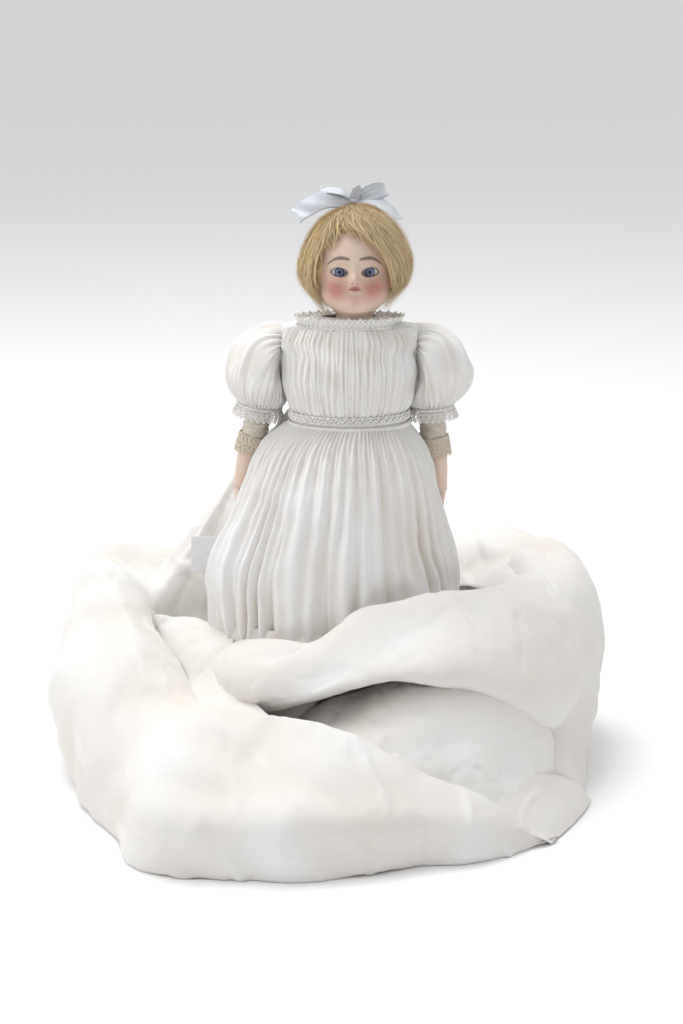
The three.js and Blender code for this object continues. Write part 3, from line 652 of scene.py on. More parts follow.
skirt_grid, round_skirt = fall(150, 620)
outwards = normals(skirt_grid, round_columns=True)
outwards *= np.sign((outwards * skirt_grid * np.array([1, 1, 0])).sum(-1).mean())
down_skirt = np.linspace(0, 1, 150)[:, None]
wander = 0.5 * np.sin(3 * round_skirt + 1) + 0.35 * np.sin(7 * round_skirt + 2 + 2.5 * down_skirt)
small = np.cos(104 * round_skirt + 3 * wander + 1.5 * np.sin(11 * round_skirt))
middle = np.cos(47 * round_skirt + 4.1 * wander + 1.1 * np.sin(down_skirt * 5 + 9 * round_skirt))
broad = 2 * np.abs(np.cos(12.5 * round_skirt + 3.4 * wander)) ** 0.75 - 1.15
lift = (small * 1.05 * (1 - smooth(0.1, 0.5, down_skirt)) * smooth(-0.03, 0.04, down_skirt)
        + middle * 1.25 * smooth(0.08, 0.32, down_skirt) * (1 - 0.6 * smooth(0.5, 0.9, down_skirt))
        + broad * 3.1 * smooth(0.2, 0.75, down_skirt)
        + ripple(skirt_grid, 70 * MM, 5) * 2.2 * smooth(0.15, 0.6, down_skirt)
        + ripple(skirt_grid * np.array([1, 1, 0.35]), 11 * MM, 6, 11) * 0.45
        * smooth(0.05, 0.3, down_skirt))
skirt_grid = skirt_grid + outwards * lift[..., None] * MM
cloth("skirt_fall", skirt_grid, "gathered", outwards, 0.30 - lift / 7.5, around=True,
                   cut=(1.05, 0.215))


# ---- Gown: the folds of the train in front and at her sides -------------------------------------
# More of the same skirt: the sheet that spreads back from her right hip, the tongue of cloth that
# folds over at her right, the layers under the front fold, and the turned corner of the hem.
FLARE = (
    ((-38, 20, 250), (-40, 26, 250), (-34, 32, 250), (-22, 36, 250)),
    ((-50, 22, 232), (-52, 30, 233), (-45, 40, 234), (-30, 46, 235)),
    ((-66, 22, 200), (-84, 32, 198), (-76, 50, 198), (-52, 62, 200)),
    ((-78, 22, 165), (-106, 34, 164), (-104, 62, 163), (-72, 82, 165)),
    ((-88, 20, 135), (-126, 36, 134), (-128, 72, 132), (-90, 98, 132)),
    ((-96, 18, 105), (-141, 32, 112), (-146, 78, 110), (-104, 112, 108)),
    ((-100, 14, 80), (-146, 26, 92), (-152, 80, 92), (-108, 120, 90)),
)
TONGUE = (
    ((-134, 6, 98), (-137, 1, 109), (-118, -6, 111), (-100, -14, 110), (-80, -30, 106)),
    ((-126, -14, 84), (-130, -18, 92), (-112, -32, 98), (-96, -46, 101), (-78, -62, 99)),
    ((-116, -40, 68), (-120, -44, 75), (-105, -58, 83), (-88, -74, 87), (-68, -92, 86)),
    ((-110, -76, 60), (-114, -80, 68), (-96, -92, 76), (-76, -104, 80), (-54, -118, 80)),
    ((-106, -108, 58), (-110, -112, 66), (-90, -121, 72), (-66, -129, 74), (-38, -134, 74)),
)
UNDERLAYER = (
    ((-60, -78, 40), (-20, -84, 74), (12, -84, 84), (45, -86, 98), (82, -84, 98), (116, -74, 90),
     (134, -58, 70)),
    ((-56, -98, 45), (-20, -104, 66), (10, -106, 76), (42, -110, 90), (80, -108, 92), (113, -92, 80),
     (134, -74, 58)),
    ((-52, -116, 46), (-18, -122, 60), (10, -124, 70), (43, -127, 80), (82, -124, 77), (114, -108, 62),
     (138, -88, 42)),
    ((-48, -132, 42), (-14, -138, 52), (12, -141, 60), (45, -144, 62), (84, -140, 54), (114, -124, 40),
     (140, -102, 24)),
    ((-42, -146, 32), (-8, -150, 40), (16, -153, 44), (48, -155, 42), (86, -151, 30), (114, -138, 20),
     (136, -118, 8)),
)
CORNER = (
    ((70, -154, 26), (92, -154, 22), (108, -154, 14), (120, -152, 7), (131, -149, .6)),
    ((78, -148, 31), (99, -145, 27), (116, -141, 20), (129, -138, 11), (138, -135, .8)),
    ((88, -138, 34), (108, -133, 31), (126, -127, 24), (139, -122, 14), (148, -118, 1)),
    ((100, -128, 35), (119, -120, 33), (136, -111, 26), (149, -104, 15), (158, -98, 1.5)),
    ((112, -118, 34), (130, -106, 32), (147, -95, 25), (158, -86, 14), (165, -80, 2)),
)


def loft(sections, rows, columns):
    """A rows x columns grid through guide sections, each a list of as many (x, y, z) points: each
    section is made a smooth curve first, then the columns are joined by smooth curves across them."""
    across = np.stack([curve(section, columns) for section in sections])
    return curve(across, rows)


def folded(name, guides, rows, columns, seed, held, outward, lean=(0.0, 0.0), strength=1.0, turns=0.0):
    """A sheet lofted through guide rows in millimetres, with folds that run down the rows; lean slants
    them, and turns is how many lie side by side."""
    grid = in_gown(loft(guides, rows, columns))
    down, along = np.meshgrid(np.linspace(0, 1, rows), np.linspace(0, 1, columns), indexing="ij")
    way = 2 * math.pi * turns * (along + lean[0] * down + lean[1] * np.sin(3 * down + 2 * along))
    grid, deep = crumpled(grid, seed, 1.2 * strength, 0.8 * strength, 0.08, way=way, folds=1.2 * strength)
    return cloth(name, on_table(grid), held, outward, 0.4 - deep / 11)


folded("skirt_flare", FLARE, 130, 90, 51, "draped", np.array([-1, -0.6, 0.2]), (0.12, 0.05), 1.1, 5)
folded("train_tongue", TONGUE, 90, 80, 61, "folded", np.array([-0.4, -0.5, 1.0]), (0.1, 0.1), 0.8, 2)
folded("train_under", UNDERLAYER, 90, 170, 71, "laid", np.array([0.1, -1, 0.9]), (0.15, 0.1), 1.1, 3)
folded("hem_corner", CORNER, 70, 70, 81, "folded", np.array([0.7, -0.8, 0.6]), (0.05, 0.05), 0.5, 1)


# ---- Petticoat ---------------------------------------------------------------------------------
# A plain starched cotton petticoat under the skirt, gathered at the waist, down to the ankles.
petticoat_low, petticoat_high = (np.array(c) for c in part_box("petticoat"))
petticoat_cotton = lawn("petticoat_cotton", (0.83, 0.825, 0.81), (0.72, 0.66, 0.57), 0.0006)
petti_down, petti_round = np.meshgrid(np.linspace(0, 1, 70),
                                      np.linspace(0, 2 * math.pi, 260, endpoint=False),
                                      indexing="ij")
petti_middle = (petticoat_low + petticoat_high) / 2
petti_half = (petticoat_high - petticoat_low) / 2 - 3 * MM
petti_reach = 0.44 + 0.56 * (1 - (1 - petti_down) ** 2.2)
petti_fold = 1 + 0.03 * np.cos(24 * petti_round + 2 * np.sin(3 * petti_round)) * smooth(0.05, 0.6,
                                                                                        petti_down)
petti_grid = np.stack([
    petti_middle[0] + petti_half[0] * petti_reach * petti_fold * np.cos(petti_round),
    petti_middle[1] * petti_down + petti_half[1] * petti_reach * petti_fold * np.sin(petti_round),
    petticoat_high[2] - 2 * MM - petti_down * (petticoat_high[2] - petticoat_low[2] - 4 * MM),
], -1)
cloth("petticoat_cloth", petti_grid, "gathered", radial(petti_grid), (1 - petti_fold) * 8 + 0.3, ("torso",),
      material=petticoat_cotton, replaced=("petticoat",), around=True)


# ---- Bodice ------------------------------------------------------------------------------------
# A short high-waisted bodice of the same lawn, drawn into fine vertical gathers at the neck band
# and at the waistband, and fuller over the chest.
body_depth = 0.72
neck_depth = 0.54
bodice_low, _ = (np.array(c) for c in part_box("bodice"))
band_low, _ = (np.array(c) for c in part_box("waistband"))
BODICE = ((-1, 37.6), (4, 38.4), (10, 41.5), (20, 44.6), (32, 46), (42, 45.6), (50, 43.4), (57, 39.6),
          (62, 36),
          (66.5, 32.6))


def turned(profile, rows, columns, depth=body_depth, low=0.0):
    """A smooth profile of (height, reach) in millimetres above low, turned round the doll's axis and
    flattened front to back; depth may be pairs of (height, depth)."""
    h, reach = np.moveaxis(curve(np.array(profile, float), rows), -1, 0)[..., None]
    t = np.linspace(0, 2 * math.pi, columns, endpoint=False)[None]
    depth = np.interp(h, *zip(*depth)) if isinstance(depth, tuple) else depth
    grid = np.stack(np.broadcast_arrays(reach * np.cos(t), depth * reach * np.sin(t), h), -1) * MM
    return grid + np.array([0, 0, low]), np.broadcast_to(t, (rows, columns))


bodice_grid, round_body = turned(BODICE, 110, 900, ((0, body_depth), (40, body_depth), (67, neck_depth)),
                                 bodice_low[2])
bodice_up = np.linspace(0, 1, 110)[:, None]
bodice_out = normals(bodice_grid, round_columns=True)
bodice_out *= np.sign((bodice_out * bodice_grid * np.array([1, 1, 0])).sum(-1).mean())
wave = 0.45 * np.sin(5 * round_body + 1.3) + 0.3 * np.sin(13 * round_body + 3 * bodice_up)
gather = (np.cos(92 * round_body + 5 * wave + 1.2 * np.sin(9 * bodice_up + 17 * round_body)) * 0.55
          + np.cos(61 * round_body + 4 * wave - 2 * bodice_up) * 0.6
          * (0.45 + 0.55 * np.sin(3 * math.pi * bodice_up) ** 2)
          + np.cos(140 * round_body + 6 * wave) * 0.28 * smooth(0.55, 0.95, np.abs(2 * bodice_up - 1)))
front = 0.55 + 0.45 * smooth(-0.3, 0.7, -np.sin(round_body))
bodice_lift = gather * front * (0.55 + 0.45 * np.sin(math.pi * bodice_up)) + ripple(bodice_grid, 24 * MM,
                                                                                    91) * 0.55
shoulder_cap = smooth(0.6, 0.78,
                      bodice_up) * (1 - smooth(0.93, 1.0, bodice_up)) * np.abs(np.cos(round_body)) ** 1.5
broad = np.minimum(np.abs(bodice_grid[..., 0]) + shoulder_cap * 10.5 * MM,
                   np.maximum(np.abs(bodice_grid[..., 0]), 45.6 * MM))
bodice_grid[..., 0] = np.sign(np.cos(round_body)) * broad
bodice_grid = bodice_grid + bodice_out * bodice_lift[..., None] * MM
cloth("bodice_cloth", bodice_grid, "gathered", bodice_out, 0.22 - bodice_lift / 2.2, ("waistband",),
      replaced=("bodice",),
      around=True, cut=(0.5, 0.075))


def hoop(height, reach, depth=body_depth):
    """A level oval round the doll's axis."""
    t = np.linspace(0, 2 * math.pi, 240, endpoint=False)
    return np.stack([reach * np.cos(t), depth * reach * np.sin(t), np.full(240, height)], 1)


def joined(*parts):
    """Several sets of points and quads as one."""
    start, points, faces = 0, [], []
    for part_points, part_faces in parts:
        part_points = np.asarray(part_points).reshape(-1, 3)
        points.append(part_points)
        faces.append(np.asarray(part_faces) + start)
        start += len(part_points)
    return np.concatenate(points), np.concatenate(faces)


def strung(route, radius):
    """A six-sided cord along a closed route, as points and faces."""
    return tube(route, radius, 6, True), tube_faces(len(route), 6, True)


def looped(along, up, out, count, pitch_points, height, width, bulge=0.0, phase=0.0):
    """The route of a looping lace thread on a closed path: it goes round along with the path, rises
    and falls by height, and swings back and forth by width, so that each turn makes a loop. along,
    up and out give the path's points and its two directions at a share of the way round."""
    turn = np.linspace(0, 1, count * pitch_points, endpoint=False)
    angle = 2 * math.pi * (turn * count + phase)
    place = turn + width * np.sin(angle)
    level = height * np.abs(np.sin(angle / 2)) ** 0.7
    return along(place) + up(place) * level[:, None] + out(place) * (bulge * level
                                                                     + 0.25 * MM * np.sin(2 * angle))[:,
                                                                                                      None]


lace_thread = Finish("white_lace", Base_Color=(0.93, 0.925, 0.915, 1), Roughness=0.85, Sheen_Weight=0.3)
lace_ply = lace_thread.noise(1500.0, 2.0)
lace_thread.bump(lace_ply, 0.0002)
lace_thread.finished(Base_Color=lace_thread.mix(lace_ply.above(0.3, 0.75), (0.92, 0.91, 0.89),
                                                (0.76, 0.73, 0.67)))


def oval(height, reach, depth=body_depth):
    """along, up and out for a lace thread round a level oval."""
    def along(share):
        t = 2 * math.pi * share
        return np.stack([reach * np.cos(t), depth * reach * np.sin(t), np.full_like(t, height)], -1)

    def up(share):
        return np.broadcast_to(np.array([0.0, 0, 1]), (len(share), 3))

    def out(share):
        t = 2 * math.pi * share
        way = np.stack([depth * np.cos(t), np.sin(t), np.zeros_like(t)], -1)
        return way / np.linalg.norm(way, axis=-1, keepdims=True)
    return along, up, out


neck_low, neck_high = (np.array(c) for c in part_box("neck_band"))
neck_lace_low, _ = (np.array(c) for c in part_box("neck_lace"))
neck_reach = neck_high[0] + 0.6 * MM
band_rim = [(0, 33.8), (0.6, 34.6), (2.4, 34.8), (3.8, 34.6), (4.4, 33.6)]
neck_grid, neck_round = turned(band_rim, 14, 260, neck_depth, neck_low[2] - 0.8 * MM)
cloth("neck_band_cloth", neck_grid + radial(neck_grid) * (np.cos(92 * neck_round) * 0.12 * MM)[..., None],
      "stretched",
      radial(neck_grid), None, ("bodice_cloth",), replaced=("neck_band",), around=True)
neck_path = oval(neck_lace_low[2] - 0.6 * MM, neck_reach, neck_depth)
yoke_rim = [(0, 34.2), (1.8, 32.5), (3.6, 27), (4.4, 22), (4.6, 18.6)]
yoke_grid, yoke_round = turned(yoke_rim, 22, 260, neck_depth, neck_low[2] + 1.2 * MM)
yoke_grid[..., 2] += np.cos(61 * yoke_round + 1.5 * np.sin(9 * yoke_round)) * 0.35 * MM
cloth("neck_yoke_cloth", yoke_grid, "gathered", np.array([0, 0, 1.0]), None, ("bodice_cloth",),
      replaced=("neck_band",), around=True)
neck_lace = joined(
    strung(hoop(neck_low[2] - 0.4 * MM, neck_reach + 0.5 * MM, neck_depth), 0.5 * MM),
    strung(hoop(neck_lace_low[2] - 0.2 * MM, neck_reach + 0.4 * MM, neck_depth), 0.55 * MM),
    strung(looped(*neck_path, 30, 22, 3.8 * MM, 0.0045, 0.62), 0.55 * MM),
    strung(looped(*neck_path, 30, 18, 2.5 * MM, 0.006, 0.5), 0.5 * MM),
    strung(looped(*neck_path, 30, 18, 2.9 * MM, 0.004, 0.5, 0.5), 0.5 * MM),
    strung(looped(*oval(neck_low[2] - 2.2 * MM, neck_reach + 0.5 * MM, neck_depth), 52, 14, 3.4 * MM, 0.004,
                  0.0), 0.42 * MM),
)
paint(piece("neck_lace_edging", *neck_lace, "doll", "white_lace", ["neck_lace"]), lace_thread.material)


# ---- Waistband ---------------------------------------------------------------------------------
# A flat band over the seam of bodice and skirt, with a row of white crochet lace along its top and
# a twisted cord braid below.
band_profile = [(0, 38.0), (0.8, 39.3), (6, 39.7), (11.2, 39.3), (12, 38.0)]
waist_grid, _ = turned(band_profile, 24, 300, low=band_low[2])
cloth("waistband_cloth", waist_grid, "stretched", radial(waist_grid), None, ("bodice_cloth",),
      replaced=("waistband",),
      around=True)
upper_low, upper_high = (np.array(c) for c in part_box("waist_braid_upper"))
lower_low, lower_high = (np.array(c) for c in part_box("waist_braid_lower"))
upper_reach, lower_reach = upper_high[0] - 1.0 * MM, lower_high[0] - 0.8 * MM
upper_braid = joined(
    strung(hoop(upper_low[2] - 0.4 * MM, upper_reach), 0.5 * MM),
    strung(hoop(upper_high[2] + 1.6 * MM, upper_reach), 0.45 * MM),
    strung(looped(*oval(upper_low[2] - 0.2 * MM, upper_reach), 44, 20, 4.8 * MM, 0.007, 0.0), 0.55 * MM),
    strung(looped(*oval(upper_low[2] - 0.2 * MM, upper_reach + 0.5 * MM), 44, 16, 3.2 * MM, 0.005, 0.0,
                  0.5), 0.5 * MM),
)
paint(piece("waist_lace", *upper_braid, "doll", "white_lace", ["waist_braid_upper"]), lace_thread.material)


def twisted(height, reach, turns, wrap, thick, strands=2):
    """Strands wound round one another along a level oval: each circles the oval's line."""
    t = np.linspace(0, 2 * math.pi, turns * 10, endpoint=False)
    parts = []
    for k in range(strands):
        angle = turns * t + 2 * math.pi * k / strands
        r = reach + wrap * np.cos(angle)
        route = np.stack([r * np.cos(t), body_depth * r * np.sin(t), height + wrap * 1.25 * np.sin(angle)],
                         1)
        parts.append(strung(route, thick))
    return parts


lower_middle = (lower_low[2] + lower_high[2]) / 2
lower_braid = joined(*twisted(lower_middle + 0.6 * MM, lower_reach, 46, 0.8 * MM, 0.75 * MM, 3),
                     strung(hoop(lower_middle - 2.2 * MM, lower_reach - 0.3 * MM), 0.45 * MM))
paint(piece("waist_cord_braid", *lower_braid, "doll", "white_lace", ["waist_braid_lower"]),
      lace_thread.material)


# ---- Buttons -----------------------------------------------------------------------------------
# Three small white china buttons down the back opening, each with a raised rim and four holes.
china = Finish("button_china", Base_Color=(0.88, 0.87, 0.84, 1), Roughness=0.22, Coat_Weight=0.6)
glaze = china.noise(500.0, 3.0)
china.finished(Base_Color=china.mix(glaze.above(0.45, 0.8), (0.90, 0.89, 0.87), (0.74, 0.71, 0.65)),
               Roughness=glaze * 0.2 + 0.15)
BUTTON = ((0, 0), (0.55, 0.02), (0.8, -0.35), (1.05, 0.05), (1.55, 0.1), (1.9, 0.55), (2.25, 0.5),
          (2.5, 0.1),
          (2.4, -0.5), (0, -0.6))
for i in (1, 2, 3):
    low, high = (np.array(c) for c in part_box(f"back_button_{i}"))
    reach, rise = np.moveaxis(curve(np.array(BUTTON), 44), -1, 0)[..., None]
    around_button = np.linspace(0, 2 * math.pi, 40, endpoint=False)[None]
    holes = 0.35 * np.exp(-((reach - 0.8) / 0.28) ** 2) * (np.cos(4 * around_button) < 0.2)
    button = np.stack(np.broadcast_arrays(
        (low[0] + high[0]) / 2 + reach * MM * np.cos(around_button),
        high[1] + (rise + holes) * MM * 1.1,
        (low[2] + high[2]) / 2 + reach * MM * np.sin(around_button)), -1)
    paint(piece(f"china_button_{i}", button, grid_faces(44, 40, False, True)[:, ::-1], "doll",
                "china_button",
                [f"back_button_{i}"]), china.material)


# ---- Sleeves and arms --------------------------------------------------------------------------
# Each arm hangs from the shoulder: a stuffed kid upper arm, a kid sleeve below the elbow with a
# tea-coloured lace cuff over it, and a glazed bisque forearm. A short puffed sleeve, gathered at
# the armhole and into a lace cuff, goes with the arm.
toe_out = 0.21
upper_length, cuff_rise = 62, 14
shoulder_gap = 9.6


def spun(axis, angle):
    """The 3 x 3 turn by an angle about one of the three axes."""
    return np.array(Matrix.Rotation(angle, 3, axis))


class Limb:
    """Places an arm's own points, in millimetres from its joint with Z along the limb, in the doll."""

    def __init__(self, at, turn):
        self.at, self.turn = np.array(at), turn

    def place(self, points):
        return self.at + np.asarray(points, float) @ self.turn.T * MM


joint_at = {joint["name"]: np.array(joint["pos_m"]) for joint in frame["joints"]}
kid = Finish("stuffed_kid", Base_Color=(0.70, 0.62, 0.52, 1), Roughness=0.62, Specular_IOR_Level=0.35)
grain = kid.noise(900.0, 4.0)
crease = kid.noise(190.0, 5.0, rough=0.7, stretch=(1.0, 1.0, 2.4))
soil = kid.noise(60.0, 4.0)
kid.bump(crease, 0.0011, 0.9)
kid.bump(grain, 0.00015, 0.6)
kid.finished(Base_Color=kid.mix(soil * 0.6 + crease.above(0.35, 0.7) * 0.45, (0.56, 0.49, 0.40),
                                (0.86, 0.80, 0.71)),
             Roughness=grain * 0.3 + 0.45)

tea_lace = Finish("aged_lace", Base_Color=(0.70, 0.61, 0.49, 1), Roughness=0.85, Sheen_Weight=0.2)
tea_ply = tea_lace.noise(1300.0, 2.0)
tea_lace.bump(tea_ply, 0.0002)
tea_lace.finished(Base_Color=tea_lace.mix(tea_ply.above(0.3, 0.75), (0.84, 0.76, 0.63), (0.62, 0.53, 0.41)))

limb_bisque = Finish("bisque_limbs", Base_Color=(0.83, 0.66, 0.57, 1), Roughness=0.42,
                     Specular_IOR_Level=0.4,
                     Subsurface_Weight=0.12, Subsurface_Scale=0.002)
limb_mottle = limb_bisque.noise(180.0, 3.0)
limb_bisque.bump(limb_bisque.noise(2600.0, 2.0), 0.00003)
_, _, limb_height = limb_bisque.axes(limb_bisque.place())
limb_bisque.finished(
    Base_Color=limb_bisque.mix((1 - limb_height.above(0.181, 0.197)) * 0.5 + limb_mottle * 0.2,
                               (0.80, 0.63, 0.53), (0.80, 0.46, 0.36)),
    Roughness=limb_mottle * 0.15 + 0.33)
FINGERS = ((-3.3, 8.2, 1.15), (-1.15, 9.8, 1.25), (1.1, 9.4, 1.2), (3.2, 7.6, 1.05))


def round_limb(limb, height, radius):
    """along, up and out for a lace thread round a limb; radius may differ by height."""
    def along(share):
        t = 2 * math.pi * share
        return limb.place(np.stack([radius * np.cos(t), radius * np.sin(t), np.full_like(t, height)], -1))

    def up(share):
        return np.broadcast_to(limb.turn @ np.array([0.0, 0, 1]), (len(share), 3))

    def out(share):
        t = 2 * math.pi * share
        return np.stack([np.cos(t), np.sin(t), np.zeros_like(t)], -1) @ limb.turn.T
    return along, up, out


def limb_hoop(limb, height, radius, thick):
    """A round cord straight across a limb."""
    t = np.linspace(0, 2 * math.pi, 120, endpoint=False)
    ring = np.stack([radius * np.cos(t), radius * np.sin(t), np.full(120, height)], 1)
    return strung(limb.place(ring), thick * MM)


def puff(limb, hinge, side):
    """A sleeve between its armhole ring and its cuff ring: each thread leaves the armhole outwards,
    swells, and turns in to the cuff, as a Hermite curve whose end slopes change round the sleeve."""
    s = np.linspace(0, 1, 110)[:, None, None]
    t = np.linspace(0, 2 * math.pi, 420, endpoint=False)[None, :, None]
    up, across, out = np.array([0.0, 0, 1]), np.array([0.0, 1, 0]), np.array([side, 0.0, 0])
    round_armhole, round_cuff = np.cos(t) * up + np.sin(t) * across, np.cos(t) * out + np.sin(t) * across
    top, bottom, flank = np.maximum(np.cos(t), 0), np.maximum(-np.cos(t), 0), np.sin(t) ** 2
    armhole = hinge * -shoulder_gap - 2.0 * up + 14.5 * round_armhole
    cuff = -43.6 * up + 14.8 * round_cuff
    leave = hinge * (6 + 90 * top - 2 * bottom) + round_armhole * (74 * flank + 14 * top + 10 * bottom)
    arrive = -up * (52 - 20 * bottom) - round_cuff * (58 + 26 * top - 30 * bottom)
    p = ((2 * s**3 - 3 * s**2 + 1) * armhole + (s**3 - 2 * s**2 + s) * leave
         + (3 * s**2 - 2 * s**3) * cuff + (s**3 - s**2) * arrive)
    n = normals(p, round_columns=True)
    n *= np.sign((n * (p - np.array([side * 4, 0, -18]))).sum(-1).mean())
    t, s = t[..., 0], s[..., 0]
    waver = 0.5 * np.sin(3 * t + side) + 0.3 * np.sin(8 * t + 4 * s)
    folds = (np.cos(38 * t + 4 * waver) * 0.7 * (1 - smooth(0.02, 0.4, s))
             + np.cos(44 * t + 4 * waver + 1) * 0.8 * smooth(0.5, 0.93, s)
             + np.cos(15 * t + 5 * waver + 2 * s) * 0.85 * np.sin(math.pi * s)
             + ripple(p * MM, 30 * MM, 101 + int(side)) * 1.3 * np.sin(math.pi * s)
             + (ridges(p * MM, 60 * MM, 131 + int(side)) - 0.2) * 0.5 * np.sin(math.pi * s))
    p = p + n * folds[..., None]
    # Flat against the bodice, and closer where the arm's swing never carries it into the chest.
    inward, away = p @ hinge, np.hypot(p[..., 1], p[..., 2])
    forward, above = np.maximum(-p[..., 1] / away, 0), np.maximum(p[..., 2] / away, 0)
    nearest = (-shoulder_gap - 2.1 * smooth(10, 18, away) - 7.0 * smooth(28, 42, -p[..., 2]) + 0.15 * folds
               - forward * (1.0 * smooth(12, 20, away) + 3.2 * smooth(19, 28, away))
               - above**2 * 7.0 * smooth(13.5, 18, away))
    p = p - hinge * ((1 - smooth(2, 14, inward + shoulder_gap)) * (forward + above * 0.6) * 3.0
                     * smooth(10, 16, away))[..., None]
    inward = p @ hinge
    p = p + hinge * (np.maximum(inward, nearest) - inward)[..., None]
    return limb.place(p), n @ limb.turn.T, folds


def armhole_facing(limb, hinge):
    """The bodice's side of the armhole: a short gathered tube round the arm's hinge line."""
    s = np.linspace(0, 1, 24)[:, None, None]
    t = np.linspace(0, 2 * math.pi, 200, endpoint=False)[None, :, None]
    e1 = np.array([0.0, 1, 0])
    e2 = np.cross(hinge, e1)
    reach = 18.5 - 3.3 * s + 0.35 * np.cos(38 * t)
    ring = (e1 * np.cos(t) + e2 * np.sin(t)) * reach
    return limb.place(hinge * (-30 + 19.6 * s) + ring - [0, 0, 2]), ring @ limb.turn.T


def frilled(limb, low, high, low_radius, high_radius, folds):
    """A short gathered band round a limb: a cone with shallow gathers."""
    s = np.linspace(0, 1, 16)[:, None]
    t = np.linspace(0, 2 * math.pi, 260, endpoint=False)[None]
    r = low_radius + (high_radius - low_radius) * s + 0.3 * np.cos(folds * t)
    grid = limb.place(np.stack(np.broadcast_arrays(r * np.cos(t), r * np.sin(t), low + (high - low) * s),
                               -1))
    return grid, np.stack(np.broadcast_arrays(np.cos(t), np.sin(t), 0 * t + 0 * s), -1) @ limb.turn.T


def blank_hand(side):
    """Palm, four fingers and a thumb: a flattened bulb and five tapering tubes, slightly curled."""
    s = np.linspace(0, 1, 22)[:, None]
    t = np.linspace(0, 2 * math.pi, 28, endpoint=False)[None]
    z = -43.5 - 9.2 * s
    thin, wide = (curve(np.array(row), 22)[:, None] for row in ((4.5, 3.7, 3.0, 2.5, 1.9, 0.3),
                                                                (4.6, 4.3, 4.8, 5.1, 4.5, 0.6)))
    parts = [(np.stack(np.broadcast_arrays(thin * np.cos(t) - side * 0.8 * s, wide * np.sin(t), z), -1),
              grid_faces(22, 28, False, True))]
    for y, length, thick in FINGERS:
        u = np.linspace(0, 1, 14)
        route = np.stack([-side * (0.6 + 2.6 * u**2), y * (1 - 0.12 * u),
                          -50.6 - length * 0.88 * u + 0.5 * u**2], 1)
        parts.append((tube(route, thick * np.sqrt(np.clip(1.03 - u**5, 0.02, 1)) * (1 - 0.2 * u), 12),
                      tube_faces(14, 12)))
    u = np.linspace(0, 1, 14)
    route = np.stack([-side * (0.8 + 1.6 * u), -3.2 - 2.2 * np.sin(math.pi * 0.6 * u), -46 - 7.6 * u], 1)
    parts.append((tube(route, 1.45 * np.sqrt(np.clip(1.03 - u**5, 0.02, 1)) * (1 - 0.15 * u), 12),
                  tube_faces(14, 12)))
    return parts


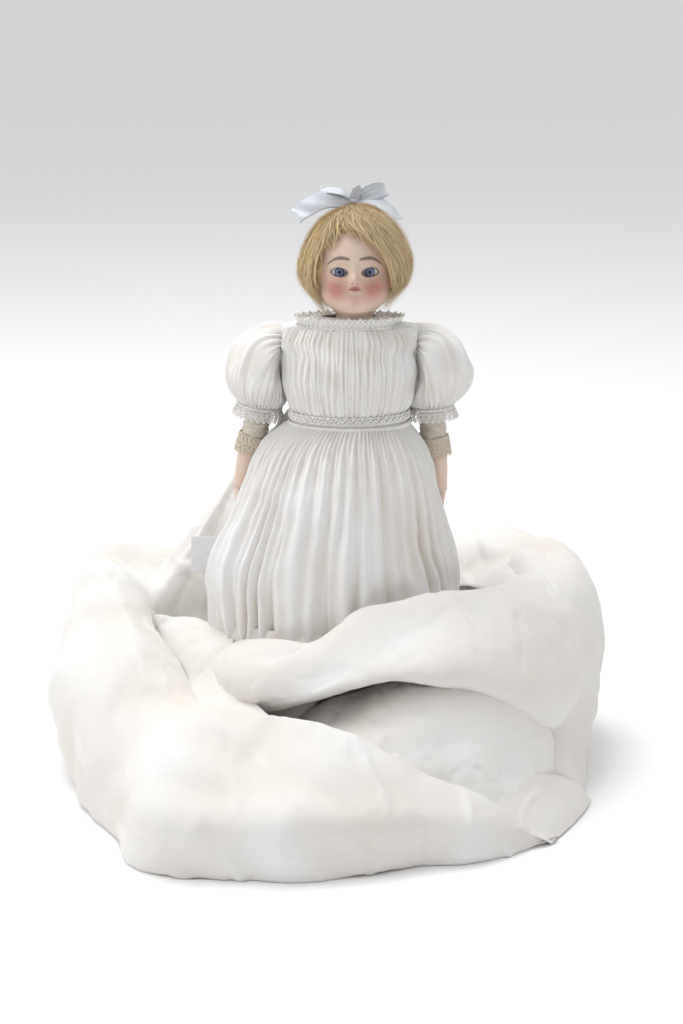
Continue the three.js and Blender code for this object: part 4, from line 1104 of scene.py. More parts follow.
for side_name, side, splay, bend in (("right", -1, 0.17, 0.12), ("left", 1, 0.06, 0.09)):
    arm_body, fore_body = f"arm_{side_name}", f"forearm_{side_name}_body"
    upper_turn = spun("Z", side * toe_out) @ spun("Y", -side * splay)
    upper = Limb(joint_at[f"shoulder_{side_name}"], upper_turn)
    lower = Limb(joint_at[f"elbow_{side_name}"], upper_turn @ spun("Y", -side * bend))
    hinge = spun("Y", side * splay) @ np.array([side, 0.0, 0.0])

    sleeve_grid, sleeve_out, sleeve_lift = puff(upper, hinge, side)
    cloth(f"sleeve_{side_name}_cloth", sleeve_grid, "gathered", sleeve_out, 0.25 - sleeve_lift / 4,
          ("bodice_cloth",),
          body=arm_body, replaced=(f"sleeve_{side_name}",), around=True, cut=(0.27, 0.085))
    cuff_z = -upper_length + cuff_rise
    facing, facing_out = armhole_facing(upper, hinge)
    cloth(f"armhole_{side_name}_facing", facing, "gathered", facing_out, None, ("bodice_cloth",),
          replaced=("bodice",),
          around=True)
    band, band_out = frilled(upper, cuff_z + 4.8, cuff_z + 1.0, 14.6, 15.4, 44)
    cloth(f"sleeve_{side_name}_band", band, "gathered", band_out, None, (f"sleeve_{side_name}_cloth",),
          body=arm_body,
          replaced=(f"sleeve_{side_name}",), around=True)
    lining, _ = frilled(upper, cuff_z + 2.4, cuff_z + 3.8, 14.9, 10.6, 60)
    cloth(f"sleeve_{side_name}_lining", lining, "gathered", np.array([0, 0, -1.0]), None,
          (f"sleeve_{side_name}_cloth",),
          body=arm_body, replaced=(f"sleeve_{side_name}",), around=True)
    cuff_lace = joined(
        limb_hoop(upper, cuff_z + 2.6, 15.6, 0.6), limb_hoop(upper, cuff_z + 0.2, 15.9, 0.5),
        strung(looped(*round_limb(upper, cuff_z + 3.4, 15.6), 30, 16, 3.0 * MM, 0.009, 0.1), 0.42 * MM),
        strung(looped(*round_limb(upper, cuff_z + 0.4, 16.2), 26, 20, -5.2 * MM, 0.011, -0.35), 0.48 * MM),
        strung(looped(*round_limb(upper, cuff_z + 0.4, 16.1), 26, 18, -3.4 * MM, 0.012, -0.3, 0.5),
               0.42 * MM),
        strung(looped(*round_limb(upper, cuff_z - 2.6, 16.9), 26, 14, -2.9 * MM, 0.0, -0.35, 0.02),
               0.42 * MM),
    )
    paint(piece(f"sleeve_{side_name}_lace", *cuff_lace, arm_body, "white_lace",
                [f"sleeve_cuff_{side_name}"]),
          lace_thread.material)

    # The kid arm is one soft tube from the shoulder to the bisque, creased where it bends.
    rise = np.array([7.5, 5.0, 0.0, -14, -28, -42, -52, -58])
    drop = np.array([-4.0, -9.0, -14.5, -16.2])
    route = curve(np.concatenate([upper.place(np.stack([0 * rise, 0 * rise, rise], 1)),
                                  lower.place(np.stack([0 * drop, 0 * drop, drop], 1))]), 150)
    down_arm = np.linspace(0, 1, 150)
    radius = np.interp(down_arm, [0, 0.035, 0.1, 0.25, 0.6, 0.85, 0.97, 1],
                       [1.0, 5.5, 8.6, 9.3, 9.2, 9.1, 8.4, 7.9])
    creased = tube(route, radius * MM, 56)
    creased_out = creased - route[:, None]
    creased_out /= np.linalg.norm(creased_out, axis=-1, keepdims=True)
    puckers = ripple(creased * np.array([0.45, 0.45, 1.5]), 6 * MM, 111 + int(side), 11) * 0.42
    creased = creased + creased_out * (puckers * smooth(0.3, 0.5, down_arm)[:, None])[..., None] * MM
    kid_arm = piece(f"kid_arm_{side_name}", creased, tube_faces(150, 56), None, "kid",
                    [f"upper_arm_{side_name}", f"kid_cuff_{side_name}"])
    paint(kid_arm, kid.material)
    tuple(upper.place([0, 0, -upper_length + 9]))
    tuple(lower.place([0, 0, -5.0]))
    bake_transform(kid_arm)

    old_lace = joined(
        limb_hoop(lower, -5.4, 10.2, 0.5), limb_hoop(lower, -9.6, 10.4, 0.45),
        limb_hoop(lower, -13.4, 10.6, 0.45),
        strung(looped(*round_limb(lower, -5.6, 10.3), 20, 18, -4.2 * MM, 0.014, 0.05), 0.4 * MM),
        strung(looped(*round_limb(lower, -9.4, 10.5), 20, 18, -4.2 * MM, 0.014, 0.05, 0.5), 0.4 * MM),
        strung(looped(*round_limb(lower, -13.2, 10.7), 14, 24, -5.8 * MM, 0.02, 0.1), 0.45 * MM),
        strung(looped(*round_limb(lower, -13.2, 10.7), 28, 12, -3.2 * MM, 0.008, 0.1, 0.5), 0.36 * MM),
        strung(looped(*round_limb(lower, -15.4, 10.9), 14, 18, -3.6 * MM, 0.0, 0.12, 0.03), 0.42 * MM),
    )
    paint(piece(f"arm_lace_{side_name}_edging", *old_lace, fore_body, "aged_lace",
                [f"arm_lace_{side_name}"]),
          tea_lace.material)
    net, _ = frilled(lower, -5.0, -15.6, 9.9, 10.2, 20)
    net_made = piece(f"arm_lace_{side_name}_net", net, grid_faces(16, 260, False, True)[:, ::-1], fore_body,
                     "aged_lace",
                     [f"arm_lace_{side_name}"])
    thicken(net_made, 0.3 * MM)
    paint(net_made, tea_lace.material)

    s = np.linspace(0, 1, 70)
    fore_route = lower.place(np.stack([0 * s, 0 * s, -11.5 - 33.5 * s], 1))
    fore_radius = np.interp(s, [0, 0.25, 0.5, 0.8, 0.93, 1], [7.6, 7.5, 6.6, 4.9, 4.3, 4.05])
    fore = tube(fore_route, curve(fore_radius[::7], 70) * MM, 40)
    hand_parts = [(lower.place(points), faces) for points, faces in blank_hand(side)]
    arm_points, arm_faces = joined((fore, tube_faces(70, 40)), *hand_parts)
    paint(piece(f"bisque_arm_{side_name}", arm_points, arm_faces, fore_body, "bisque",
                [f"forearm_{side_name}"]),
          limb_bisque.material)


# ---- Head --------------------------------------------------------------------------------------
# A bisque shoulder head: pressed porcelain with a soft matt skin, painted brows, lashes, lips and
# strong cheek colour, painted shadow in the eye sockets and nostrils, and almond eye holes cut for
# glass eyes set in plaster behind.
eye_low_r, eye_high_r = (np.array(c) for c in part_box("eye_right"))
eye_low_l, eye_high_l = (np.array(c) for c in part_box("eye_left"))
eye_r, eye_l = (eye_low_r + eye_high_r) / 2, (eye_low_l + eye_high_l) / 2
face_x, eye_z = (eye_r[0] + eye_l[0]) / 2, (eye_r[2] + eye_l[2]) / 2
face_z = eye_z + 1.9 * MM
eye_out = (eye_l[0] - eye_r[0]) / 2 / MM
# Height from the middle of the head, half-width, depth in front, depth behind, and rows to give it.
HEAD = (
    (31, .2, .2, .2, 4), (29.6, 9, 9, 10, 8), (25, 18, 17, 18.5, 10), (16, 24.8, 23.5, 25, 20),
    (6, 27, 26.4, 28, 44),
    (-4, 27.2, 27.2, 28, 44), (-12, 26.6, 27.2, 25.5, 44), (-19, 24.8, 26.4, 21, 36),
    (-25, 20.6, 24.2, 16, 14),
    (-29.4, 15.6, 19.4, 13.4, 8), (-32, 12.6, 14.2, 12.5, 6), (-35, 12.6, 12.0, 12.6, 6),
    (-38, 15, 12.2, 13, 6),
    (-40.6, 22, 13.6, 14.4, 6), (-42.6, 29, 15.0, 16.0, 6), (-48, 32.6, 19, 20, 6),
    (-58, 34.6, 23.2, 24, 6),
    (-68, 35.6, 25.2, 26.2, 0),
)
head_rows = np.array(HEAD)
spans = head_rows[:-1, 4].astype(int)
places = np.concatenate([i + np.arange(n) / n for i, n in enumerate(spans)] + [[len(HEAD) - 1.0]])
fine = curve(head_rows[:, :4], (len(HEAD) - 1) * 60 + 1)
head_line = np.stack([np.interp(places, np.linspace(0, len(HEAD) - 1, len(fine)),
                                fine[:, k]) for k in range(4)], 1)
head_columns = 340
part = np.linspace(0, 2 * math.pi, head_columns, endpoint=False)[None]
around_head = part - 0.6 * np.sin(part)
w, half, ahead, behind = head_line.T[..., None]
u = half * np.sin(around_head)
depth = np.where(np.cos(around_head) > 0, ahead, behind)
face_y = -depth * np.cos(around_head)
w = np.broadcast_to(w, u.shape)
on_face = smooth(0.15, 0.45, np.cos(around_head)) * smooth(-34, -28, w)


def hill(x, z, wide, tall):
    """A rounded hill on the face, mirrored to both sides when x is not 0."""
    def one(centre):
        return np.exp(-((u - centre) / wide) ** 2 - ((w - z) / tall) ** 2)
    return one(0) if x == 0 else one(x) + one(-x)


eye_u = np.minimum(np.abs(u - eye_out), np.abs(u + eye_out))
eye_w = w + 1.9
nearer_nose = np.abs(u) < eye_out
lid_height = np.where(eye_w > 0, 3.15, 2.6)
eye_shape = (eye_u / 5.2) ** 1.9 + (np.abs(eye_w + 0.25 * (nearer_nose - 0.5)) / lid_height) ** 1.9
socket = 1 - smooth(0.86, 1.04, eye_shape)
rim = np.exp(-((eye_shape - 1.22) / 0.22) ** 2) * (eye_shape < 4)
mouth_line = -12.6 - 0.012 * u**2 + 0.35 * np.exp(-(u / 1.1) ** 2)
upper_lip = np.exp(-((w - mouth_line - 1.0 - 0.25 * np.exp(-((np.abs(u) - 1.6) / 1.2) ** 2)) / 1.15) ** 2) \
    * smooth(-4.4, -2.0, -np.abs(u))
lower_lip = np.exp(-((w - mouth_line + 1.25) / 1.05) ** 2) * smooth(-3.3, -1.0, -np.abs(u))
relief = (
    hill(0, -6.0, 2.4, 2.8) * 4.2 + hill(0, -1.5, 2.2, 5.5) * 1.7 + hill(2.7, -7.2, 1.3, 1.3) * 1.1
    - hill(1.5, -8.4, 0.65, 0.5) * 0.9 + upper_lip * 1.15 + lower_lip * 1.35
    - np.exp(-((w - mouth_line) / 0.42) ** 2) * smooth(-4.6, -3.4, -np.abs(u)) * 0.85
    + hill(0, -11.5, 5.5, 4.0) * 0.9 - hill(0, -16.4, 3.2, 1.5) * 0.8 + hill(0, -21.2, 5.0, 3.8) * 2.1
    + hill(13.0, -12.5, 6.5, 6.5) * 1.5 - hill(eye_out, -1.5, 6.2, 4.6) * 1.2
    + hill(9.5, 6.0, 7, 3.0) * 0.45
    + rim * 0.4 - socket * 5.0
) * on_face
head_grid = np.stack([u * (1 + 0.012 * relief * (1 - socket)), face_y - relief, w],
                     -1) * MM + np.array([face_x, 0, face_z])
below_neck = smooth(-36, -42, w)
head_grid[..., 0] -= below_neck * face_x
brow_u = np.abs(u) - eye_out
brow_line = 8.0 - 0.060 * (brow_u + 1.0) ** 2 * np.where(brow_u > -1, 1.0, 0.42)
brow = (1.25 * np.exp(-((w - brow_line) / (1.22 - 0.08 * np.abs(brow_u + 1))) ** 2)
        * smooth(-8.6, -6.4, -np.abs(brow_u - 0.6)))
upper = smooth(-0.6, 0.5, eye_w)
lash_angle = np.arctan2(eye_w,
                        np.where(np.abs(u - eye_out) < np.abs(u + eye_out), u - eye_out, -u - eye_out))
strokes = smooth(0.1, 0.75, np.cos(lash_angle * 26))
away_from_nose = smooth(-5.5, -2.0, (np.abs(u) - eye_out))
lashes = (strokes * smooth(0.98, 1.12, eye_shape) * (1 - smooth(1.35, 2.1, eye_shape))
          * (0.28 + 0.4 * upper) * away_from_nose)
lid_line = np.exp(-((eye_shape - 1.05) / 0.27) ** 2) * (0.8 + 0.3 * upper)
# Brows, lashes and lid lines are real brown paint; the same dark colour fills the eye sockets and the
# nostrils as painted shadow.
brown = np.clip(brow + lashes + lid_line + smooth(0.2, 0.7, socket) + hill(1.5, -8.4, 0.6, 0.4) * 0.45, 0,
                1) * on_face
blush = np.clip(hill(12.8, -13.0, 9.4, 8.6) * 1.08 + hill(eye_out, 4.0, 5.0, 1.6) * 0.22
                + hill(0, -22, 3.5, 3) * 0.25
                + hill(0, -6.5, 2.2, 2.0) * 0.1, 0, 1) * on_face
lip_shape = np.maximum(smooth(0.3, 0.8, upper_lip),
                       0.62 * smooth(0.3, 0.85, lower_lip)) * smooth(-4.2, -3.0, -np.abs(u))
lips = np.clip(lip_shape + hill(1.5, -8.5, 0.7, 0.5) * 0.8
               + np.exp(-((w - mouth_line) / 0.4) ** 2) * smooth(-4.4, -3.6, -np.abs(u)),
               0, 1) * on_face
head = piece("bisque_head", head_grid, grid_faces(*u.shape, False, True), "doll", "bisque",
             ["shoulder_head"])
for name, values in (("brown", brown), ("blush", blush), ("lips", lips)):
    head.data.attributes.new(name, "FLOAT", "POINT").data.foreach_set("value", values.ravel())
bisque = Finish("painted_bisque", Base_Color=(0.71, 0.55, 0.44, 1), Roughness=0.4, Specular_IOR_Level=0.45,
                Subsurface_Weight=0.1, Subsurface_Scale=0.002)


def painted(name):
    return bisque.node("Attribute", {"attribute_name": name}, output=2)


speckle = bisque.noise(1400.0, 2.0)
cloudy = bisque.noise(120.0, 4.0)
bisque.bump(speckle, 0.00004)
skin = bisque.mix(cloudy.above(0.3, 0.75) * 0.5, (0.76, 0.585, 0.475), (0.70, 0.515, 0.41))
rouged = bisque.mix(painted("blush") * (cloudy * 0.25 + 0.75), skin, (0.47, 0.185, 0.13))
lipped = bisque.mix(painted("lips") * 0.85, rouged, (0.42, 0.125, 0.105))
# Brown paint, and painted shadow in the eye sockets and nostrils.
drawn_and_shaded = bisque.mix(painted("brown") * (speckle * 0.4 + 0.62), lipped, (0.075, 0.04, 0.028))
bisque.finished(Base_Color=drawn_and_shaded, Roughness=cloudy * 0.16 + painted("lips") * -0.12 + 0.34)
paint(head, bisque.material)


# ---- Eyes --------------------------------------------------------------------------------------
# Blown glass eyes: white with a blue-violet iris of fine pale threads, a dark rim and a black
# pupil, under a clear glass skin; a dab of plaster holds them from behind.
glass = Finish("eye_glass", Base_Color=(0.8, 0.8, 0.82, 1), Roughness=0.12, Coat_Weight=0.5,
               Coat_Roughness=0.02,
               Specular_IOR_Level=0.3)
gaze_u, gaze_v, _ = glass.axes(glass.place("UV"))
from_middle = (gaze_u * gaze_u + gaze_v * gaze_v) ** 0.5
threads = glass.noise(1.0, 3.0, glass.node("CombineXYZ", inputs={
    0: glass.node("Math", {"operation": "ARCTAN2"}, {0: gaze_v, 1: gaze_u}) * 7.0, 1: from_middle * 160.0}))
iris = glass.mix(threads.above(0.25, 0.75), (0.07, 0.09, 0.25), (0.36, 0.43, 0.68))
rimmed = glass.mix(from_middle.above(0.0023, 0.0030), iris, (0.01, 0.012, 0.05))
pupiled = glass.mix(from_middle.above(0.0011, 0.0014), (0.002, 0.002, 0.003), rimmed)
# The white goes darker and pinker away from the iris.
white_darker_outward = glass.mix(from_middle.above(0.0045, 0.0065), (0.84, 0.85, 0.88), (0.72, 0.66, 0.64))
glass.finished(Base_Color=glass.mix(from_middle.above(0.0031, 0.0035), pupiled, white_darker_outward))
eye_radius = 8.3  # in millimetres
for side_name, middle in (("right", eye_r), ("left", eye_l)):
    t = np.linspace(0, math.pi, 70)[:, None]
    a = np.linspace(0, 2 * math.pi, 72, endpoint=False)[None]
    ball = np.stack(np.broadcast_arrays(np.sin(t) * np.cos(a), -np.cos(t), np.sin(t) * np.sin(a)), -1)
    cornea = 0.45 * np.exp(-(np.sin(t) * 7 / 3.4) ** 2) * (np.cos(t) > 0)
    eyeball = middle + ball * (eye_radius + cornea)[..., None] * MM + np.array([0, 1.0, 0]) * MM
    gaze = np.where((np.cos(t) > 0)[..., None], ball[..., [0, 2]] * eye_radius * MM, 0.0068)
    paint(piece(f"glass_eye_{side_name}", eyeball, grid_faces(70, 72, False, True)[:, ::-1], "doll",
                "eye_glass",
                [f"eye_{side_name}"], np.broadcast_to(gaze, (70, 72, 2))), glass.material)
plaster = Finish("eye_plaster", Base_Color=(0.8, 0.78, 0.74, 1), Roughness=0.95)
plaster_grain = plaster.noise(500.0, 5.0)
plaster.bump(plaster_grain, 0.0004)
plaster.finished(Base_Color=plaster.mix(plaster_grain, (0.84, 0.82, 0.78), (0.66, 0.62, 0.56)))
paint(nodes["eye_plaster"], plaster.material)


# ---- Wig ---------------------------------------------------------------------------------------
# Real mohair sewn to a cap: honey blonde, darker at the roots, with painted shade on the locks that
# lie deeper and on the cap beneath them, swept up from the forehead to the bow on the crown, full
# and frizzy at both sides, with thin wispy ends about the jaw.
mohair = Finish("blonde_mohair", Base_Color=(0.6, 0.43, 0.22, 1), Roughness=0.55, Sheen_Weight=0.35,
                Sheen_Roughness=0.35, Specular_IOR_Level=0.35)
along_lock, lock_tone_and_shade = (mohair.node("Attribute", {"attribute_name": n}, output=2) for n in ("along",
                                                                                             "tone"))
hair_u, hair_v, _ = mohair.axes(mohair.place("UV"))
streak = mohair.noise(1.0, 4.0, mohair.node("CombineXYZ", inputs={0: hair_u * 5200.0, 1: hair_v * 120.0,
                                                                  2: lock_tone_and_shade * 40.0}))
mohair.bump(streak, 0.0004, 0.9)
# Darker at the roots, with streaks, a random tone for each lock and painted shade on the deeper locks.
roots_streaks_and_shade = (1 - along_lock.above(0.0, 0.45)) * 0.45 + (streak - 0.5) * 0.9 + lock_tone_and_shade * 0.55
dark_to_light = mohair.node("ValToRGB", {"stops": [
    (0.0, (0.93, 0.76, 0.46)), (0.35, (0.82, 0.585, 0.29)), (0.65, (0.60, 0.375, 0.155)),
    (1.0, (0.27, 0.14, 0.055))]},
    {"Fac": roots_streaks_and_shade})
mohair.finished(Base_Color=dark_to_light, Roughness=streak * 0.3 + 0.42)


def hairline(turn):
    """How far down the hair goes at each turn from the front, in degrees from the crown."""
    off_front = np.abs(np.degrees((turn + math.pi) % (2 * math.pi) - math.pi))
    turned = np.degrees((turn + math.pi) % (2 * math.pi) - math.pi)
    parted = (7 * np.exp(-((turned + 27) / 9) ** 2) - 5 * np.exp(-((turned + 10) / 13) ** 2)
              + 3 * smooth(10, 40, turned))
    return (53 + 15 * smooth(10, 48, off_front) + 54 * smooth(40, 62, off_front)
            - 3 * smooth(100, 170, off_front)
            + parted * (1 - smooth(50, 70, off_front)) + 5 * np.exp(-((turned + 66) / 14) ** 2))


def on_hair(turn, fall_angle, stand_off):
    """A point of the hair's outer shape: an egg round the head, fuller at the sides and drawn in
    below the ears, stand_off millimetres proud of it. turn is from the front, towards her left."""
    fall_angle = np.radians(fall_angle)
    front = np.cos(turn)
    half_width = 33.8 + 0.6 * np.sin(turn)
    depth = 32.6 + 4.2 * smooth(0.2, -0.6, front)
    full = np.sin(fall_angle) * (1 + 0.05 * smooth(1.1, 1.5, fall_angle)
                                 * (1 - smooth(1.75, 2.1, fall_angle)))
    tuck = 1 - 0.16 * smooth(1.7, 2.15, fall_angle)
    wide = (half_width * full * tuck + stand_off * np.sin(fall_angle)) * np.sin(turn)
    deep = (depth * full * tuck + stand_off * np.sin(fall_angle)) * front
    high = 39.8 * np.cos(fall_angle) + stand_off * np.cos(fall_angle)
    return np.stack([wide, 3.0 - deep, high - 3.2 + 1.0 * np.sin(turn)],
                    -1) * MM + np.array([face_x, 0, face_z])


def locks(name, count, points, sides, seed, thickness, stand, frizz, reach):
    """Many tapering strands that run from the crown down the hair's shape, each with its own turn,
    waves and thickness, drawn as thin flattened tubes."""
    rng = np.random.default_rng(seed)
    step = np.linspace(0, 1, points)[None]
    begin = rng.uniform(-math.pi, math.pi, (count, 1))
    at_brow = 1 - smooth(30, 62, np.abs(np.degrees(begin)))
    drift = rng.normal(0, 0.14, (count, 1)) + 0.10 * np.sin(begin * 2)
    drift = drift + at_brow * (0.62 * smooth(-0.75, -0.45, begin) - 0.22 * smooth(-0.45, -0.75, begin))
    loose = rng.uniform(0, 1, (count, 1))
    length = rng.uniform(*reach, (count, 1))
    phase, beat = rng.uniform(0, 2 * math.pi, (count, 1)), rng.uniform(1.2, 3.2, (count, 1))
    turn = begin + drift * step**1.5
    last = hairline(begin + drift)
    limit = last * length
    fall_angle = rng.uniform(1, 12, (count, 1)) + (limit - 6) * step
    at_front = 1 - smooth(36, 56, np.abs(np.degrees((begin + math.pi) % (2 * math.pi) - math.pi)))
    pompadour = at_front * (3.0 * np.sin(math.pi * np.clip(step, 0, 1)) - 5.0 * smooth(0.78, 1.0, step))
    fluff = (1 - at_front) * (2.0 * np.sin(math.pi * step) * loose)
    stand_off = rng.uniform(*stand, (count, 1)) + pompadour + fluff
    route = on_hair(turn, fall_angle, stand_off)
    outward = route - np.array([face_x, 3 * MM, face_z - 4 * MM])
    outward /= np.linalg.norm(outward, axis=-1, keepdims=True)
    way = np.gradient(route, axis=1)
    way /= np.maximum(np.linalg.norm(way, axis=-1, keepdims=True), 1e-9)
    side = np.cross(way, outward)
    side /= np.maximum(np.linalg.norm(side, axis=-1, keepdims=True), 1e-9)
    swing = frizz * (0.25 + step) * MM
    waves = 2 * math.pi * beat * step + phase
    route = route + side * (np.sin(waves) * swing)[..., None] + outward * (np.cos(waves * 1.3) * swing
                                                                           * 0.6)[..., None]
    curl_in = (1 - at_front) * smooth(0.8, 1.0, step) * rng.uniform(-1.0, 3.5, (count, 1)) * MM
    route = route - outward * curl_in[..., None]
    size = rng.uniform(*thickness,
                       (count, 1)) * MM * np.sqrt(np.clip(np.sin(math.pi * (0.08 + 0.90 * step)), 0, 1))
    size = size * (1 - 0.7 * step**2)
    a = np.linspace(0, 2 * math.pi, sides, endpoint=False)
    up = np.cross(side, way)
    ring = side[:, :, None] * np.cos(a)[:, None] + up[:, :, None] * np.sin(a)[:, None] * 0.55
    grid = route[:, :, None] + ring * size[..., None, None]
    quads = grid_faces(points, sides, False, True)
    faces = (quads[None] + (np.arange(count) * points * sides)[:, None, None]).reshape(-1, 4)
    made_uv = np.stack(np.broadcast_arrays((a / (2 * math.pi) * 0.004)[None, None],
                                           (step * 0.06)[..., None]), -1)
    made = piece(name, grid, faces, "doll", "mohair", ["wig"],
                 np.broadcast_to(made_uv, (count, points, sides, 2)))
    # Each lock gets a random tone, plus painted shade: the parts that stand closer to the head are darker.
    tone = np.clip(rng.normal(0.35, 0.24, (count, 1, 1))
                   + 0.25 * (stand_off[..., None].mean() - stand_off[..., None]) / 4, 0, 1)
    for key, values in (("along", step[..., None]), ("tone", tone)):
        made.data.attributes.new(key, "FLOAT", "POINT").data.foreach_set(
            "value", np.broadcast_to(values, (count, points, sides)).ravel())
    return paint(made, mohair.material)


cap_turn, cap_down = np.meshgrid(np.linspace(0, 2 * math.pi, 200, endpoint=False), np.linspace(0, 1, 90),
                                 indexing="xy")
cap_grid = on_hair(cap_turn, 1 + cap_down * (hairline(cap_turn) * 0.97 - 1),
                   -3.4 - 1.5 * smooth(0.85, 1.0, cap_down))
cap_grid += radial(cap_grid - [face_x, 0, face_z]) * (ripple(cap_grid, 8 * MM, 141) * 0.35 * MM)[..., None]
cap = piece("wig_cap", cap_grid, grid_faces(90, 200, False, True)[:, ::-1], "doll", "mohair", ["wig"],
            np.stack([cap_turn * 0.02, cap_down * 0.06], -1))
# The cap's tone is set high, so it shows darker between the locks: painted shade under the hair.
for key, values in (("along", cap_down * 0.5), ("tone", 0.6 + 0.3 * ripple(cap_grid, 9 * MM, 142))):
    cap.data.attributes.new(key, "FLOAT", "POINT").data.foreach_set("value", np.clip(values, 0, 1).ravel())
thicken(paint(cap, mohair.material), 1.2 * MM)
locks("wig_locks", 1150, 15, 5, 151, (0.7, 1.4), (-2.6, 1.2), 0.9, (0.80, 1.04))
locks("wig_waves", 1500, 14, 4, 152, (0.22, 0.5), (-0.8, 2.6), 1.5, (0.7, 1.12))
locks("wig_flyaways", 900, 14, 3, 153, (0.06, 0.12), (0.5, 4.4), 2.6, (0.5, 1.2))


# ---- Hair bow ----------------------------------------------------------------------------------
# Pale blue satin ribbon tied on the crown: a flat tail and a small loop at her right, an upright
# tip, a round loop and a short tail at her left, drawn through a small knot.
satin = Finish("blue_satin", Base_Color=(0.60, 0.635, 0.68, 1), Roughness=0.3, Specular_IOR_Level=0.6,
               Sheen_Weight=0.4,
               Anisotropic=0.6)
satin_u, _, _ = satin.axes(satin.place("UV"))
ribs = (satin_u * (2 * math.pi / 0.00045)).sine() * 0.5 + 0.5
# Painted shade along both curled edges of the ribbon, read from its 'fold' attribute.
curled_edge_shade = satin.node("Attribute", {"attribute_name": "fold"}, output=2)
rubbed = satin.noise(220.0, 4.0)
satin.bump(ribs, 0.00008, 0.5)
satin.bump(rubbed, 0.0004, 0.5)
satin.finished(Base_Color=satin.mix(curled_edge_shade * 0.5 + rubbed * 0.25, (0.66, 0.70, 0.75), (0.44, 0.48, 0.55)),
               Roughness=rubbed * 0.3 + 0.22)
knot_low, knot_high = (np.array(c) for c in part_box("ribbon_knot"))
knot = (knot_low + knot_high) / 2


def strip(name, line, width, lean, node, notch=0.0, bow=0.0):
    """A ribbon along a line of points from the knot: flat across the direction lean, cupped a little,
    gathered in at the knot, narrower by bow at a loop's far turn, with a swallow-tail of depth notch."""
    centre = knot + curve(np.array(line, float), 90) * MM
    run, across = np.meshgrid(np.linspace(0, 1, 90), np.linspace(-1, 1, 22), indexing="ij")
    way = np.gradient(centre, axis=0)
    way /= np.linalg.norm(way, axis=1, keepdims=True)
    lean = np.array(lean, float)
    flat = lean - way * (lean * way).sum(-1, keepdims=True)
    flat /= np.linalg.norm(flat, axis=1, keepdims=True)
    face = np.cross(way, flat)
    spread = width / 2 * (0.35
                          + 0.65 * smooth(0.0, 0.22, run)) * (1 - bow * np.exp(-((run - 0.5) / 0.13) ** 2))
    dish = 0.6 * (across**2 - 0.4) + 0.5 * np.cos(3.2 * math.pi * across + 1) * (1 - smooth(0.0, 0.35, run))
    grid = (centre[:, None] + flat[:, None] * (across * spread)[..., None] * MM
            + face[:, None] * dish[..., None] * MM
            + way[:, None] * (notch * (np.abs(across) - 0.5) * smooth(0.75, 1.0, run))[..., None] * MM)
    grid = grid + face[:, None] * (ripple(grid, 14 * MM, 161) * 0.35)[..., None] * MM
    # The fold values paint shade along both edges, where the ribbon cups.
    return cloth(name, grid, "folded", np.broadcast_to(face[:, None], grid.shape),
                 smooth(0.82, 0.95, np.abs(across)),
                 ("wig_cap",), material=satin.material, replaced=(node,), slot="blue_satin")


strip("bow_right_tail", ((-1, 0, 0), (-8, -3, 1.5), (-20, -7, 1.2), (-31, -11, -3.5), (-38, -13, -8.5)),
      12.5,
      (0.15, 0.55, 0.85), "ribbon_right", 2.5)
strip("bow_right_loop",
      ((-1, 0, 0.5), (-8, -1, 5.5), (-17, 0, 7.2), (-21, 2, 5.0), (-15, 5, 3.6), (-6, 4, 1.0), (0, 2, 0)),
      10.5, (0.0, 1.0, 0.35), "ribbon_right")
strip("bow_left_tip", ((0, 0, 0), (1.2, -1, 3.5), (2.6, -2, 7), (3.6, -3, 10)), 6.5, (1, 0.2, -0.2),
      "ribbon_left", -4.0)
strip("bow_left_loop", ((1, 0, 0.5), (7, -1, 3.5), (14, -1, 6.4), (20, 0.5, 7.6), (22.5, 3.2, 7.2),
                        (19, 5.5, 6.0), (12, 5, 3.8),
      (5, 3, 1.4), (0, 2, 0)), 11, (-0.42, 0.12, 1.0), "ribbon_left", bow=0.3)
strip("bow_left_tail", ((1, 0, 0), (8, -2, 1.0), (17, -4, -0.5), (25, -6, -6), (30, -7, -12)), 10.5,
      (0.2, 0.8, 0.55), "ribbon_left", 2.5)
knot_t, knot_a = np.meshgrid(np.linspace(0, math.pi, 44), np.linspace(0, 2 * math.pi, 64, endpoint=False),
                             indexing="ij")
knot_size = 1 + 0.09 * np.cos(5 * knot_a + 2 * knot_t) * np.sin(knot_t)
knot_grid = knot + np.stack([3.4 * np.cos(knot_t) * (1 + 0.12 * np.cos(2 * knot_a)),
                             3.0 * np.sin(knot_t) * np.cos(knot_a) * knot_size,
                             3.2 * np.sin(knot_t) * np.sin(knot_a) * knot_size], -1) * MM
paint(piece("bow_knot", knot_grid, grid_faces(44, 64, False, True), "doll", "blue_satin", ["ribbon_knot"],
            np.stack([knot_t, knot_a], -1) * 0.003), satin.material)


# ---- Cork pate ---------------------------------------------------------------------------------
# A domed cork pate closes the open crown of the head; the wig is glued over it.
cork = Finish("cork_pate", Base_Color=(0.45, 0.29, 0.17, 1), Roughness=0.9)
pores = cork.node("TexVoronoi", {"feature": "DISTANCE_TO_EDGE"}, {"Vector": cork.place(), "Scale": 480.0})
cork_spots = cork.noise(420.0, 4.0)
cork.bump(pores.above(0.0, 0.12), 0.0003)
cork.finished(Base_Color=cork.mix(pores.above(0.02, 0.2) * 0.6 + cork_spots * 0.4, (0.20, 0.11, 0.06),
                                  (0.62, 0.43, 0.26)))
paint(nodes["pate"], cork.material)


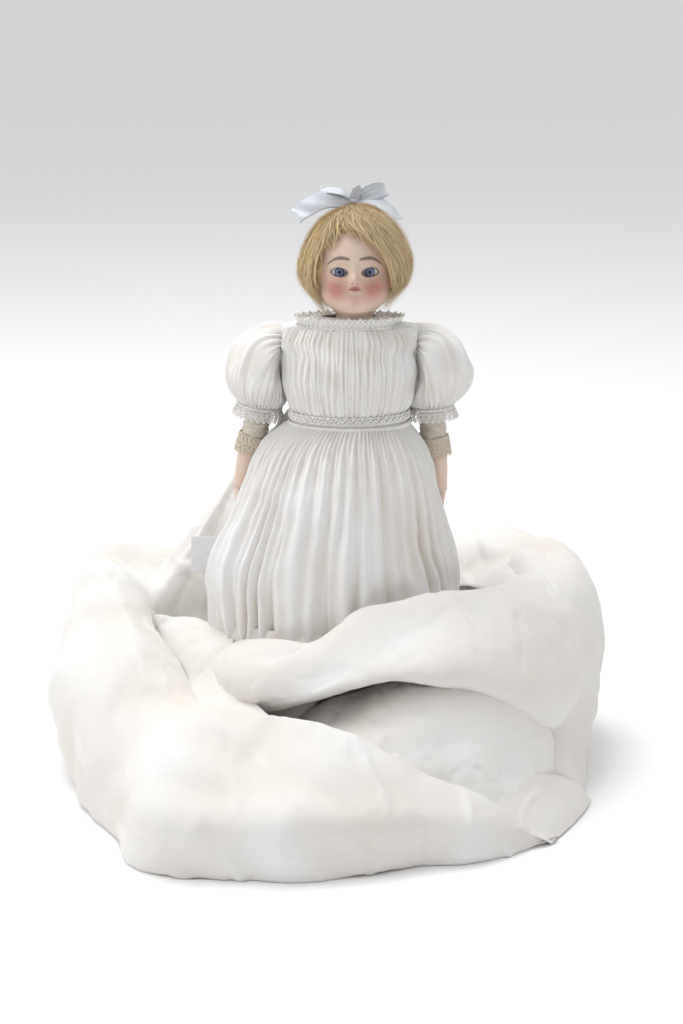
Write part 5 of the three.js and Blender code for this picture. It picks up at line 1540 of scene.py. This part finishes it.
# ---- Body and legs -----------------------------------------------------------------------------
# A kid body stuffed hard with sawdust, and stuffed kid legs sewn on at the hips and gusseted at
# the knees. The seams run down the sides and pucker a little.
body_kid = Finish("body_kid", Base_Color=(0.74, 0.67, 0.56, 1), Roughness=0.6, Specular_IOR_Level=0.35)
body_grain = body_kid.noise(800.0, 4.0)
body_crease = body_kid.noise(110.0, 5.0, rough=0.65, stretch=(1.0, 1.0, 1.8))
body_kid.bump(body_crease, 0.0012, 0.8)
body_kid.bump(body_grain, 0.00015, 0.6)
body_kid.finished(Base_Color=body_kid.mix(body_crease.above(0.3, 0.75), (0.60, 0.51, 0.39),
                                          (0.82, 0.76, 0.66)),
                  Roughness=body_grain * 0.25 + 0.48)
TORSO = ((206, 4), (208.5, 20), (214, 28.5), (224, 31.6), (240, 32.4), (252, 32.4), (262, 34.6),
         (272, 37.6), (284, 38.6),
         (290, 37.5), (293, 33), (296, 24), (298, 12), (298.5, .5))
torso_grid, torso_round = turned(TORSO, 120, 160)
side_seam = np.exp(-(np.sin(torso_round) / 0.05) ** 2)
torso_grid = torso_grid - radial(torso_grid) * ((side_seam * (0.6
                                                              + 0.25 * np.cos(torso_grid[..., 2]
                                                                              * 2600)))[..., None] * MM)
torso_grid[..., 2] = np.minimum(torso_grid[..., 2], 299 * MM)
torso = piece("kid_torso", torso_grid, grid_faces(120, 160, False, True), "doll", "kid", ["torso"])
paint(torso, body_kid.material)
LEG = ((0, 210, 2), (0, 206, 9.5), (0, 196, 12.2), (0, 175, 12.9), (0, 150, 12.2), (0, 125, 11.2),
       (0, 110, 10.6),
       (0, 95, 10.4), (0, 75, 9.8), (0, 50, 7.6), (0, 32, 6.2), (-2.5, 23, 6.4), (-11, 19.6, 5.6),
       (-19, 18.2, 4.4),
       (-23.5, 17.6, 1.4))
for side_name, side in (("right", -1), ("left", 1)):
    knee = joint_at[f"knee_{side_name}"]
    leg_line = curve(np.array(LEG), 190)
    route = np.stack([np.full(190, knee[0]), leg_line[:, 0] * MM, leg_line[:, 1] * MM], 1)
    leg = tube(route, np.maximum(leg_line[:, 2], 0.4) * MM, 60)
    leg_out = leg - route[:, None]
    seam = np.exp(-((np.linspace(0, 2 * math.pi, 60, endpoint=False) - math.pi) / 0.12) ** 2)[None]
    pucker = -0.55 * seam + ripple(leg * np.array([0.5, 0.5, 1.3]), 10 * MM, 171 + side, 11) * 0.3
    leg = leg + leg_out / np.maximum(np.linalg.norm(leg_out, axis=-1, keepdims=True),
                                     1e-9) * pucker[..., None] * MM
    made = piece(f"kid_leg_{side_name}", leg, tube_faces(190, 60), None, "kid",
                 [f"thigh_{side_name}", f"lower_leg_{side_name}"])
    paint(made, body_kid.material)
    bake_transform(made)


# ---- Stand -------------------------------------------------------------------------------------
# A hidden doll stand: a turned wooden foot, a plated steel post behind the legs, and a sprung
# clip round the waist under the petticoat.
base_low, base_high = (np.array(c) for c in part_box("stand_base"))
wood = Finish("stand_wood", Base_Color=(0.20, 0.10, 0.05, 1), Roughness=0.4, Coat_Weight=0.3,
              Coat_Roughness=0.2)
_, wood_y, _ = wood.axes(wood.place())
figure = wood.noise(22.0, 4.0, stretch=(0.25, 2.2, 1.0))
grain_lines = wood.noise(260.0, 4.0, stretch=(0.08, 1.0, 1.0))
rings_of_growth = ((wood_y * 900.0 + figure * 16.0).sine() * 0.5 + 0.5)
wood.bump(grain_lines, 0.00012)
wood.finished(Base_Color=wood.mix(rings_of_growth * 0.55 + grain_lines * 0.5, (0.10, 0.045, 0.02),
                                  (0.33, 0.17, 0.085)),
              Roughness=grain_lines * 0.25 + 0.28)
FOOT = ((0, 0), (0.2, 0.5), (0.9, 0.985), (1.6, 1), (4.6, 1), (5.4, 0.985), (5.8, 0.955), (6.0, 0.93),
        (7.2, 0.915),
        (7.8, 0.88), (8, 0.8), (8, 0))
foot_reach = (base_high[0] - base_low[0]) / 2 / MM
foot_grid, _ = turned([(h, r * foot_reach) for h, r in FOOT], 90, 160, 1.0, base_low[2])
foot_grid[..., :2] += (base_low[:2] + base_high[:2]) / 2
foot_grid[..., 2] = np.clip(foot_grid[..., 2], base_low[2], base_high[2])
paint(piece("stand_foot", foot_grid, grid_faces(90, 160, False, True), "doll", "stand_wood",
            ["stand_base"]), wood.material)
steel = Finish("stand_steel", Base_Color=(0.62, 0.62, 0.63, 1), Roughness=0.3, Metallic=1.0)
drawn_lines = steel.noise(700.0, 3.0, stretch=(1.0, 1.0, 0.06))
tarnish = steel.noise(60.0, 4.0)
steel.bump(drawn_lines, 0.00004)
steel.finished(Base_Color=steel.mix(tarnish.above(0.5, 0.8) * 0.6, (0.66, 0.66, 0.67), (0.34, 0.30, 0.26)),
               Roughness=drawn_lines * 0.2 + tarnish * 0.25 + 0.12)
for name in ("stand_post", "stand_clip"):
    paint(nodes[name], steel.material)
